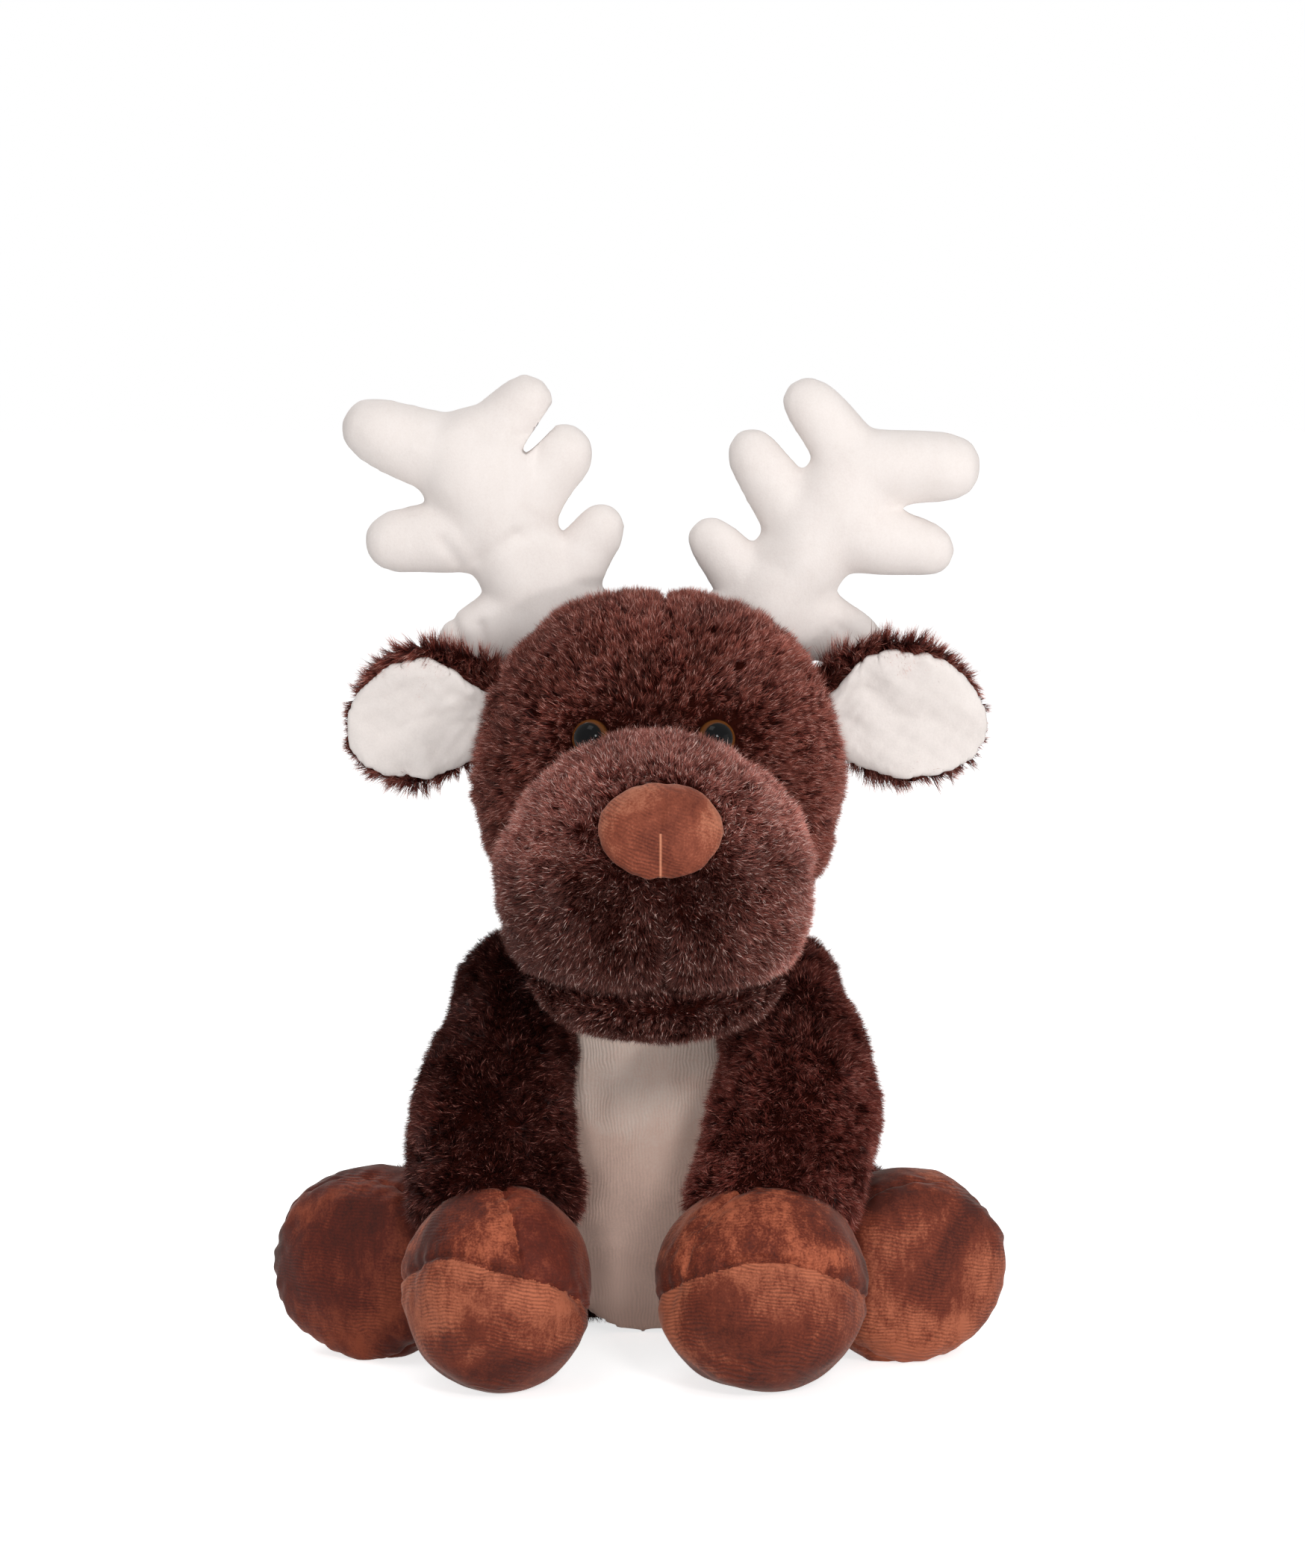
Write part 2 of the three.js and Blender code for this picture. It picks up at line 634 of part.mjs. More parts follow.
// Antler branches as shares of its height: outward and up from the middle of its base
const antlerStemShares = {
  beam: { from: [0.02, 0.04], to: [0.17, 0.28], fromRadius: 0.175, toRadius: 0.18 },
  brow: { from: [0.1, 0.1], to: [0.38, -0.04], fromRadius: 0.16, toRadius: 0.108 },
};
const antlerTineShares = {
  left: {
    palm: { from: [0.17, 0.28], to: [0.28, 0.47], fromRadius: 0.18, toRadius: 0.18 },
    crown: { from: [0.28, 0.47], to: [0.37, 0.6], fromRadius: 0.18, toRadius: 0.155 },
    lowerOuter: { from: [0.25, 0.4], to: [0.662, 0.326], fromRadius: 0.165, toRadius: 0.104 },
    lowerInner: { from: [-0.015, 0.172], to: [-0.182, 0.362], fromRadius: 0.118, toRadius: 0.088 },
    upperInner: { from: [0.148, 0.456], to: [-0.01, 0.687], fromRadius: 0.134, toRadius: 0.1 },
    outer: { from: [0.36, 0.637], to: [0.735, 0.646], fromRadius: 0.152, toRadius: 0.13 },
    top: { from: [0.369, 0.684], to: [0.204, 0.888], fromRadius: 0.122, toRadius: 0.1 },
  },
  right: {
    palm: { from: [0.17, 0.28], to: [0.28, 0.52], fromRadius: 0.18, toRadius: 0.205 },
    crown: { from: [0.28, 0.52], to: [0.37, 0.66], fromRadius: 0.205, toRadius: 0.21 },
    lowerOuter: { from: [0.25, 0.4], to: [0.648, 0.352], fromRadius: 0.165, toRadius: 0.114 },
    lowerInner: { from: [0.025, 0.134], to: [-0.142, 0.397], fromRadius: 0.12, toRadius: 0.097 },
    upperInner: { from: [0.185, 0.456], to: [-0.003, 0.695], fromRadius: 0.142, toRadius: 0.11 },
    outer: { from: [0.38, 0.66], to: [0.732, 0.787], fromRadius: 0.16, toRadius: 0.127 },
    top: { from: [0.3, 0.71], to: [0.148, 0.895], fromRadius: 0.125, toRadius: 0.108 },
  },
};

// The line that an antler leans back about
const antlerHinge = (name) => {
  const { point, axis } = headHinge(
    name, ANTLER_HINGE_OUT, ANTLER_HINGE_BACK, ANTLER_HINGE_RISE, Math.PI / 2 - antlerHingeRadians,
  );
  return { point, axis: axis.negate() };
};

const antlerRoot = (name, spare) =>
  roll(antlerHinge(name), ANTLER_ROOT_LENGTH, ANTLER_ROOT_RADIUS + spare);

function antler(name) {
  const middle = antlerHinge(name).point;
  const place = ([out, up]) =>
    middle.clone().add(mirrored(SIDES[name], out * ANTLER_HEIGHT, 0, up * ANTLER_HEIGHT));
  const branches = { ...antlerStemShares, ...antlerTineShares[name] };
  const limbs = Object.values(branches).map(({ from, to, fromRadius, toRadius }) => branch(
    place(from),
    place(to),
    fromRadius * ANTLER_HEIGHT,
    toRadius * ANTLER_HEIGHT,
    antlerFlatnessShare,
  ));
  const skull = sweptBack(skullForm(SEAM_GAP), antlerHinge(name), ANTLER_TURNS);
  return mesh(`antler_${name}`, join(cut(join(...limbs), skull), antlerRoot(name, 0)), cream());
}

// Safety eye on the head's surface, its stem through the cover and its washer behind it
function eyeSeat(name) {
  const right = EYE_SHIFT + (SIDES[name] * EYE_SPACING) / 2;
  return frontOf(HEAD, HEAD_HALF, HEAD_POWER, right, EYE_RISE);
}

function eyeForm(name, spare) {
  const { place, normal } = eyeSeat(name);
  const radius = EYE_DIAMETER / 2 + spare;
  const dome = new THREE.SphereGeometry(radius, ...EYE_FACETS);
  dome.scale(1, EYE_DOME / (EYE_DIAMETER / 2), 1);
  dome.applyQuaternion(new THREE.Quaternion().setFromUnitVectors(new THREE.Vector3(0, 1, 0), normal));
  dome.translate(place.x, place.y, place.z);
  const back = place.clone().addScaledVector(normal, -spare);
  return cut(solid(dome), halfSpace(back, normal.clone().negate()));
}

function eyeStem(name, spare) {
  const { place, normal } = eyeSeat(name);
  const back = place.clone().addScaledVector(normal, -EYE_STEM_LENGTH - spare);
  const front = place.clone().addScaledVector(normal, EYE_DOME / 2);
  return rod(back, front, EYE_STEM_DIAMETER / 2 + spare, 8);
}

function washerFace(name) {
  const { place, normal } = eyeSeat(name);
  return place.clone().addScaledVector(normal, -COVER_WALL - WASHER_STANDOFF);
}

function eyeWasher(name) {
  const front = washerFace(name);
  const back = front.clone().addScaledVector(eyeSeat(name).normal, -WASHER_THICKNESS);
  return rod(back, front, WASHER_DIAMETER / 2);
}

// The dimple that a washer presses into the filling
function washerDimple(name) {
  const { place, normal } = eyeSeat(name);
  const back = washerFace(name).addScaledVector(normal, -WASHER_THICKNESS - SEAM_GAP);
  return rod(back, place, WASHER_DIAMETER / 2 + SEAM_GAP);
}

function eyes() {
  return Object.keys(SIDES).flatMap((name) => [
    mesh(`eye_${name}`, join(eyeForm(name, 0), eyeStem(name, 0)), glossy(0x0b0605)),
    mesh(`eye_washer_${name}`, cut(eyeWasher(name), eyeStem(name, SEAM_GAP)), glossy(0xf2f2ee)),
  ]);
}

// Muzzle, chin and the two halves of the nose
function snout() {
  const skull = skullForm(SEAM_GAP);
  const muzzleForm = (spare) =>
    ball(MUZZLE, MUZZLE_HALF.clone().addScalar(spare), MUZZLE_POWER, MUZZLE_FACETS);
  const eyePockets = Object.keys(SIDES).map((name) => eyeForm(name, SEAM_GAP));
  const muzzle = cut(muzzleForm(0), skull, ...eyePockets);
  const chinForm = ball(CHIN, CHIN_HALF, 2, CHIN_FACETS);
  const chin = cut(chinForm, skull, muzzleForm(SEAM_GAP));
  const seat = frontOf(MUZZLE, MUZZLE_HALF, MUZZLE_POWER, NOSE_SHIFT, NOSE_RISE);
  const half = new THREE.Vector3(NOSE_WIDTH / 2, NOSE_DEPTH / 2, NOSE_HEIGHT / 2);
  const tilt = Math.atan2(seat.normal.z, -seat.normal.y);
  const flat = new THREE.SphereGeometry(1, ...NOSE_FACETS).scale(half.x, half.y, half.z);
  const nose = cut(
    solid(flat.rotateX(-tilt).translate(seat.place.x, seat.place.y, seat.place.z)),
    muzzleForm(SEAM_GAP),
  );
  const split = (side) => {
    const right = new THREE.Vector3(side, 0, 0);
    const edge = seat.place.clone().addScaledVector(right, SEAM_GAP / 2);
    return cut(nose, halfSpace(edge, right.negate()));
  };
  return [
    mesh('muzzle', muzzle, fur()),
    mesh('chin', chin, fur()),
    mesh('nose_left', split(SIDES.left), velboa()),
    mesh('nose_right', split(SIDES.right), velboa()),
  ];
}

function head() {
  const neckMouth = rod(
    NECK.clone(),
    NECK.clone().addScaledVector(UP, -NECK_RADIUS * 2),
    NECK_OPENING_RADIUS,
  );
  const names = Object.keys(SIDES);
  const pockets = names.flatMap((name) => [
    earRoot(name, TURNING_GAP),
    antlerRoot(name, TURNING_GAP),
    eyeStem(name, SEAM_GAP),
  ]);
  const dents = names.map((name) => eyeForm(name, SEAM_GAP));
  const cover = cut(headForm(0), headForm(-COVER_WALL), neckMouth, ...dents, ...pockets);
  const stuffing = cut(headForm(-COVER_WALL - SEAM_GAP), ...pockets, ...names.map(washerDimple));
  return [mesh('head_cover', cover, fur()), mesh('head_stuffing', stuffing, filling())];
}

const neckHinge = { point: NECK, axis: new THREE.Vector3(-1, 0, 0) };
const tailHinge = {
  point: new THREE.Vector3(0, TORSO_HALF_DEPTH - COVER_WALL, TAIL_UP),
  axis: new THREE.Vector3(1, 0, 0),
};

function tailForm(spare) {
  const slope = THREE.MathUtils.degToRad(tailDegrees);
  const aim = new THREE.Vector3(0, Math.cos(slope), Math.sin(slope));
  const stations = tailShares.map(({ along, girth }) => (
    { place: tailHinge.point.clone().addScaledVector(aim, along * TAIL_LENGTH), girth: TAIL_RADIUS * girth }
  ));
  return stuffed(stations, { spare, steps: 4, sides: 10 });
}

// Room for the legs to turn in
function legPockets(spare, facets) {
  return Object.keys(SIDES).flatMap((name) => [
    stuffed(frontLegStations(name), { spare, ...facets }),
    swept(stuffed(hindLegStations(name), { spare, ...facets }), hipHinge(name), HIP_TURNS),
  ]);
}

function torso() {
  const neckBall = (spare) => evenBall(NECK, NECK_RADIUS + spare, NECK_FACETS);
  const whole = cut(
    torsoForm(0),
    belowFloor,
    swept(neckBall(SEAM_GAP), neckHinge, HEAD_TURNS),
    swept(tailForm(SEAM_GAP), tailHinge, TAIL_TURNS),
    ...legPockets(TURNING_GAP),
  );
  const cover = cut(whole, torsoForm(COVER_WALL), bellyPrism(SEAM_GAP));
  const belly = cut(whole, torsoForm(COVER_WALL)).intersect(bellyPrism(0));
  const stuffing = cut(
    torsoForm(COVER_WALL + SEAM_GAP),
    neckBall(FILLING_GAP),
    tailForm(FILLING_GAP),
    ...legPockets(FILLING_GAP, FILLING_FACETS),
  );
  return [
    mesh('torso_cover', cover, fur()),
    mesh('belly_panel', belly, cream()),
    mesh('torso_stuffing', stuffing, filling()),
  ];
}

const deer = new THREE.Group();
deer.add(...torso(), ...head(), ...snout(), ...eyes());
deer.add(mesh('tail', tailForm(0), fur()));
for (const name of Object.keys(SIDES)) {
  deer.add(...frontLeg(name), ...hindLeg(name), ...ear(name), antler(name));
}

export default deer;
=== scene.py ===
import math

import bpy
import numpy as np
from mathutils import Matrix, Vector
from mathutils.bvhtree import BVHTree


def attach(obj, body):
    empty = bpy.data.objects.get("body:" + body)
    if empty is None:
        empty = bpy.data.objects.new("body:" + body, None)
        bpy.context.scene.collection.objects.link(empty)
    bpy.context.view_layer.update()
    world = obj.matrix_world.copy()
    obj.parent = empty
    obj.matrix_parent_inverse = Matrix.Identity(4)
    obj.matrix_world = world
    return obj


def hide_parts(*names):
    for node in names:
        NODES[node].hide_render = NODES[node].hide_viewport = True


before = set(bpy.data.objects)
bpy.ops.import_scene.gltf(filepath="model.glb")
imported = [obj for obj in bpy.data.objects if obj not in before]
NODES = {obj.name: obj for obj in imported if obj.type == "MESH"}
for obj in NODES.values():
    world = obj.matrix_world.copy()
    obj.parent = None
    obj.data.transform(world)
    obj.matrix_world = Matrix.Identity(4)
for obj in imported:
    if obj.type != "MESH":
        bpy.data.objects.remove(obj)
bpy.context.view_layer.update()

# Seated plush deer. Metres, +Z up, the toy faces -Y, its own left side is at +X. The forms' places and
# sizes are written in millimetres, and MM or mm() turns them into metres. Tones are 0 to 1.
SIDES = {"left": 1, "right": -1}
MM = 0.001

# Places and sizes that the photograph gives, in millimetres
HEAD = (5.3, -18, 176)
HEAD_HALF = (56, 51, 55)
HEAD_POWER = 2.2
MUZZLE = (4.2, -78, 150)
NOSE = (5.4, -113, 170)
NOSE_HALF = (19, 14.5)
LIP_HALF = 33.5
FACE_SEAM = 6.8
# To the right of and above the middle of the head
EYE_MIDDLE = (-2, 16)
EYE_SPACING = 38.5
EYE_RADIUS = 6
EYE_HEIGHT = 5
EYE_SHANK = 3
EAR_ROOT = 49.5
EAR_REACH = 46
EAR_HINGE = (-16, 199)


def mm(*v):
    return Vector(v) * MM


# Mesh and node helpers


def add(name, data):
    obj = bpy.data.objects.new(name, data)
    bpy.context.scene.collection.objects.link(obj)
    return obj


def new_mesh(name, verts, faces):
    mesh = bpy.data.meshes.new(name)
    mesh.from_pydata(verts, [], faces)
    return mesh


def feed(tree, node, inputs):
    """Fills a node's inputs, each with a socket to link or with a value."""
    for key, value in inputs.items():
        if isinstance(value, bpy.types.NodeSocket):
            tree.links.new(value, node.inputs[key])
        else:
            node.inputs[key].default_value = value
    return node


def add_node(tree, kind, inputs, **settings):
    node = tree.nodes.new("ShaderNode" + kind)
    for key, value in settings.items():
        setattr(node, key, value)
    return feed(tree, node, inputs)


def calculate(tree, operation, *values):
    return add_node(tree, "Math", dict(enumerate(values)), operation=operation).outputs[0]


def calculate_vector(tree, operation, *values, output=0):
    node = add_node(tree, "VectorMath", dict(enumerate(values)), operation=operation)
    return node.outputs[output]


def map_range(tree, value, low, high, to_low=0, to_high=1):
    ends = {"From Min": low, "From Max": high, "To Min": to_low, "To Max": to_high}
    return add_node(tree, "MapRange", {0: value, **ends}).outputs[0]


def mix_values(tree, share, a, b):
    node = add_node(tree, "Mix", {}, data_type="FLOAT")
    return feed(tree, node, {"Factor": share, "A": a, "B": b}).outputs["Result"]


def mix_colors(tree, share, a, b, blend="MIX"):
    node = add_node(tree, "Mix", {}, data_type="RGBA", blend_type=blend)
    return feed(tree, node, {"Factor": share, "A": a, "B": b}).outputs["Result"]


def noise(tree, vector, scale, detail=3, rough=0.55, distortion=0.0, output="Fac"):
    shape = {"Scale": scale, "Detail": detail, "Roughness": rough, "Distortion": distortion}
    return add_node(tree, "TexNoise", {"Vector": vector, **shape}).outputs[output]


def ramp(tree, value, stops):
    """The colour that a value has between stops of a place and a colour each."""
    node = add_node(tree, "ValToRGB", {0: value})
    elements = node.color_ramp.elements
    while len(elements) < len(stops):
        elements.new(0.5)
    for e, (place, color) in zip(elements, stops):
        e.position = place
        e.color = (*color, 1)
    return node.outputs[0]


def object_place(tree):
    return tree.nodes.new("ShaderNodeTexCoord").outputs["Object"]


def start_material(name, roughness, specular):
    mat = bpy.data.materials.new(name)
    mat.use_nodes = True
    shader = mat.node_tree.nodes["Principled BSDF"]
    feed(mat.node_tree, shader, {"Roughness": roughness, "Specular IOR Level": specular})
    return mat, mat.node_tree, shader


# Camera, stage and light, with their places in metres
CAMERA_PLACE = (0.003, -1.622, 0.360)
CAMERA_TILT = 83.33
SENSOR_WIDTH = 36
LENS = 116.57
CLIP = (0.05, 20)
WHITE = (1, 1, 1, 1)
FLOOR_HALF = 6
FLOOR_DROP = 0.0002
FLOOR_GLOW = 0.72
SKY_STRENGTH = 0.42
WARM = (1, 0.985, 0.97)
# Name, place, target, size, power and tint of each lamp
LAMPS = (
    ("key", (0.45, -1.7, 0.95), (0, -0.05, 0.14), 0.3, 7.5, WARM),
    ("front", (-0.15, -1.9, 0.3), (0, -0.05, 0.1), 0.16, 5.5, WARM),
    ("top", (-0.35, -0.6, 1.8), (0, -0.05, 0.15), 0.7, 4, (1, 1, 1)),
    ("fill", (1.4, -0.7, 0.4), (0, -0.05, 0.08), 0.8, 2, (1, 0.99, 0.98)),
    ("rim", (-0.5, 1.2, 1.5), (0, 0, 0.2), 0.9, 8, (1, 1, 1)),
    ("low", (0.8, -1.35, 0.05), (0, -0.05, 0.12), 0.13, 5.5, WARM),
)


def make_camera():
    data = bpy.data.cameras.new("camera")
    data.sensor_width = SENSOR_WIDTH
    data.lens = LENS
    data.clip_start, data.clip_end = CLIP
    camera = add("camera", data)
    camera.location = CAMERA_PLACE
    camera.rotation_euler = (math.radians(CAMERA_TILT), 0, 0)
    bpy.context.scene.camera = camera


def seen_directly(tree):
    """1 for the rays that show the background: from the camera, mirrored or through clear pieces."""
    rays = tree.nodes.new("ShaderNodeLightPath").outputs
    mirrored = calculate(tree, "MAXIMUM", rays["Is Camera Ray"], rays["Is Glossy Ray"])
    return calculate(tree, "MAXIMUM", mirrored, rays["Is Transmission Ray"])


def stage_material():
    """Shaded by the object, and lifted to white where it is seen."""
    mat, tree, shader = start_material("stage_white", 0.9, 0)
    feed(tree, shader, {"Base Color": (0.9, 0.9, 0.9, 1)})
    strength = calculate(tree, "MULTIPLY", seen_directly(tree), FLOOR_GLOW)
    glow = add_node(tree, "Emission", {"Strength": strength})
    total = add_node(tree, "AddShader", {0: shader.outputs[0], 1: glow.outputs[0]})
    feed(tree, tree.nodes["Material Output"], {0: total.outputs[0]})
    return mat


def make_stage():
    r = FLOOR_HALF
    mesh = new_mesh("floor", [(-r, -r, 0), (r, -r, 0), (r, r, 0), (-r, r, 0)], [(0, 1, 2, 3)])
    floor = add("floor", mesh)
    floor.location.z = -FLOOR_DROP
    mesh.materials.append(stage_material())

    scene = bpy.context.scene
    scene.view_settings.view_transform = "Standard"
    world = bpy.data.worlds.new("studio")
    scene.world = world
    world.use_nodes = True
    tree = world.node_tree
    back = feed(tree, tree.nodes["Background"], {0: WHITE, 1: SKY_STRENGTH})
    seen = add_node(tree, "Background", {0: WHITE, 1: 1})
    mix = add_node(tree, "MixShader", {0: seen_directly(tree), 1: back.outputs[0], 2: seen.outputs[0]})
    feed(tree, tree.nodes["World Output"], {0: mix.outputs[0]})

    for name, place, target, size, power, tint in LAMPS:
        data = bpy.data.lights.new(name, "AREA")
        data.shape = "SQUARE"
        data.size, data.energy, data.color = size, power, tint
        lamp = add(name, data)
        lamp.location = place
        lamp.rotation_euler = (Vector(target) - Vector(place)).to_track_quat("-Z", "Y").to_euler()


make_camera()
make_stage()


# Forms of points and faces


def points_of(mesh):
    co = np.empty(len(mesh.vertices) * 3)
    mesh.vertices.foreach_get("co", co)
    return co.reshape(-1, 3)


def normals_of(mesh):
    no = np.empty(len(mesh.vertices) * 3)
    mesh.vertices.foreach_get("normal", no)
    return no.reshape(-1, 3)


def set_points(mesh, co):
    mesh.vertices.foreach_set("co", np.ascontiguousarray(co, dtype=np.float32).ravel())
    mesh.update()


def apply_modifiers(obj):
    dg = bpy.context.evaluated_depsgraph_get()
    made = bpy.data.meshes.new_from_object(obj.evaluated_get(dg))
    old = obj.data
    obj.modifiers.clear()
    obj.data = made
    bpy.data.meshes.remove(old)


def gathered(meshes):
    """The points and the faces of several meshes, in one list each."""
    verts, faces = [], []
    for mesh in meshes:
        start = len(verts)
        verts += [tuple(v.co) for v in mesh.vertices]
        faces += [tuple(start + i for i in p.vertices) for p in mesh.polygons]
    return verts, faces


def outer_shell(mesh):
    """Drops every closed surface but the one that reaches furthest."""
    parent = list(range(len(mesh.vertices)))

    def find(i):
        while parent[i] != i:
            parent[i] = parent[parent[i]]
            i = parent[i]
        return i

    for e in mesh.edges:
        a, b = find(e.vertices[0]), find(e.vertices[1])
        if a != b:
            parent[a] = b
    roots = np.array([find(i) for i in range(len(mesh.vertices))])
    co = points_of(mesh)
    best, size = None, -1
    for r in np.unique(roots):
        part = co[roots == r]
        reach = np.linalg.norm(part.max(0) - part.min(0))
        if reach > size:
            best, size = r, reach
    keep = roots == best
    if keep.all():
        return mesh
    index = np.cumsum(keep) - 1
    faces = [tuple(int(index[i]) for i in p.vertices) for p in mesh.polygons if keep[p.vertices[0]]]
    return new_mesh(mesh.name, [tuple(p) for p in co[keep]], faces)


def soft_form(name, nodes, voxel, smooth, grow):
    """A smooth closed form over copies of CAD nodes. Voxel and grow are in millimetres."""
    obj = add(name, new_mesh(name, *gathered(NODES[n].data for n in nodes)))
    remesh = obj.modifiers.new("remesh", "REMESH")
    remesh.mode = "VOXEL"
    remesh.voxel_size = voxel * MM
    apply_modifiers(obj)
    obj.data = outer_shell(obj.data)
    mod = obj.modifiers.new("smooth", "SMOOTH")
    mod.factor = 0.5
    mod.iterations = smooth
    apply_modifiers(obj)
    if grow:
        set_points(obj.data, points_of(obj.data) + normals_of(obj.data) * grow * MM)
    obj.data.shade_smooth()
    return obj


def tree_of(obj):
    return BVHTree.FromPolygons(*gathered([obj.data]))


RAY = Vector((0.31, 0.22, 0.93)).normalized()
RAY_STEP = 1e-6
MOST_HITS = 20


def hits(point, tree):
    """How many faces lie on a ray from a point."""
    count = 0
    while count < MOST_HITS:
        place = tree.ray_cast(point, RAY)[0]
        if place is None:
            break
        point = place + RAY * RAY_STEP
        count += 1
    return count


def depth_in(points, tree, reach=0.03):
    """How deep each point lies inside a closed form: positive inside, negative outside."""
    out = np.full(len(points), -reach)
    for i, p in enumerate(points):
        p = Vector(p)
        place, normal, _, dist = tree.find_nearest(p, reach)
        if place is not None:
            out[i] = dist if (p - place).dot(normal) < 0 and hits(p, tree) % 2 else -dist
    return out


# The cloth solver works on a form ten times as large
SWELL_SCALE = 10
PRESSURE = 4.0
STIFFNESS = 12.0
SWELL_FRAMES = 14
LEAST_PIN = 0.02


def inflate(obj, pins, cap):
    """Swells a form as cloth under pressure, held at its seams, and moves no point further than cap
    millimetres."""
    rest = points_of(obj.data)
    work = bpy.data.objects.new("swelling", obj.data.copy())
    bpy.context.scene.collection.objects.link(work)
    set_points(work.data, rest * SWELL_SCALE)
    if pins is not None:
        group = work.vertex_groups.new(name="pin")
        for i in np.nonzero(pins > LEAST_PIN)[0]:
            group.add([int(i)], float(min(1, pins[i])), "REPLACE")
    mod = work.modifiers.new("cloth", "CLOTH")
    cloth = mod.settings
    cloth.quality = 4
    cloth.mass = 0.3
    cloth.tension_stiffness = cloth.compression_stiffness = STIFFNESS
    cloth.shear_stiffness = STIFFNESS / 2
    cloth.bending_stiffness = 0.3
    cloth.use_pressure = True
    cloth.uniform_pressure_force = PRESSURE
    cloth.effector_weights.gravity = 0
    if pins is not None:
        cloth.vertex_group_mass = "pin"
    mod.point_cache.frame_start = 1
    mod.point_cache.frame_end = SWELL_FRAMES
    scene = bpy.context.scene
    for f in range(1, SWELL_FRAMES + 1):
        scene.frame_set(f)
    dg = bpy.context.evaluated_depsgraph_get()
    swollen = points_of(work.evaluated_get(dg).data) / SWELL_SCALE
    scene.frame_set(1)
    bpy.data.objects.remove(work)
    move = swollen - rest
    far = np.linalg.norm(move, axis=1, keepdims=True)
    move *= np.minimum(1, cap * MM / np.maximum(far, 1e-9))
    set_points(obj.data, rest + move)


def subdivide(obj, levels=1):
    sub = obj.modifiers.new("subdivide", "SUBSURF")
    sub.levels = sub.render_levels = levels
    apply_modifiers(obj)
    obj.data.shade_smooth()


WAVE_COUNT = 10


def waves(points, size, seed):
    """A smooth random number, about -1 to 1, at each point, that varies over a size in millimetres."""
    rng = np.random.default_rng(seed)
    aim = rng.normal(size=(WAVE_COUNT, 3))
    aim /= np.linalg.norm(aim, axis=1, keepdims=True)
    aim *= (2 * np.pi / (size * MM)) * rng.uniform(0.6, 1.5, (WAVE_COUNT, 1))
    phase = rng.uniform(0, 2 * np.pi, WAVE_COUNT)
    return np.sin(points @ aim.T + phase).sum(1) / math.sqrt(WAVE_COUNT / 2) / 1.4


def wave_vector(points, size, seed):
    return np.stack([waves(points, size, seed + i) for i in range(3)], 1)


def shift(obj, amount):
    """Moves a form's points along their normals by an amount in millimetres for each."""
    set_points(obj.data, points_of(obj.data) + normals_of(obj.data) * (amount[:, None] * MM))


def keep_above_floor(obj):
    co = points_of(obj.data)
    co[:, 2] = np.maximum(co[:, 2], 0)
    set_points(obj.data, co)


# Materials
TONE_MAP = "OFBake"
BACKING_GRAIN = 900
WASHER_GRAIN = 400
NAP_GRAIN = 1500
NAP_STREAKS = 420
NAP_SPREAD = 0.16
BUMP_DEPTH = 0.0004
# How far a strand's own tone darkens or lightens it
TONE_SHADES = ((0, 0.3), (0.45, 0.92), (0.8, 1.45), (0.9, 1.9))
# Tones above this carry a painted glint, a painted highlight near the strand's tip
PAINTED_GLINT_TONE = 0.93
PUPIL = (0.003, 0.003, 0.003)
# Metres from one knit row to the next
ROW_PITCH = 0.00106
ROW_WOBBLE = 0.004
# Metres from the middle of a seam's thread where it begins to fade, and where it has
THREAD_EDGE = (0.0001, 0.0005)


def srgb(r, g, b):
    def one(v):
        v /= 255
        return v / 12.92 if v <= 0.04045 else ((v + 0.055) / 1.055) ** 2.4
    return one(r), one(g), one(b)


def pile_material(name, root, body, tip, painted_glint, roughness=0.45):
    """Strands coloured from root to tip, each with a tone of its own. The root end is darkest, as
    painted shade deep in the pile, and strands of the glint tone carry a painted glint, a painted
    highlight near the tip.
    """
    mat, tree, shader = start_material(name, roughness, 0.15)
    uv = add_node(tree, "UVMap", {}, uv_map=TONE_MAP)
    part = add_node(tree, "SeparateXYZ", {0: uv.outputs[0]}).outputs
    # Darkest at the root: painted shade deep in the pile
    along = ramp(tree, part["Y"], [(0, root), (0.45, body), (1, tip)])
    tone = ramp(tree, part["X"], [(place, (shade,) * 3) for place, shade in TONE_SHADES])
    # A painted glint along the upper part of the strands of the glint tone: a painted highlight
    painted_glint_strand = calculate(tree, "GREATER_THAN", part["X"], PAINTED_GLINT_TONE)
    high = map_range(tree, part["Y"], 0.55, 0.68)
    color = mix_colors(
        tree, calculate(tree, "MULTIPLY", painted_glint_strand, high),
        mix_colors(tree, 1, along, tone, "MULTIPLY"), (*painted_glint, 1),
    )
    feed(tree, shader, {"Base Color": color})
    return mat


def speckled_material(name, scale, dark, light, roughness, specular):
    mat, tree, shader = start_material(name, roughness, specular)
    value = noise(tree, object_place(tree), scale)
    feed(tree, shader, {"Base Color": ramp(tree, value, [(0.3, dark), (0.7, light)])})
    return mat


def backing_material(name, color):
    """The fabric that a pile is rooted in, or loose fibre."""
    dark, light = [c * 0.6 for c in color], [c * 1.3 for c in color]
    return speckled_material(name, BACKING_GRAIN, dark, light, 0.9, 0)


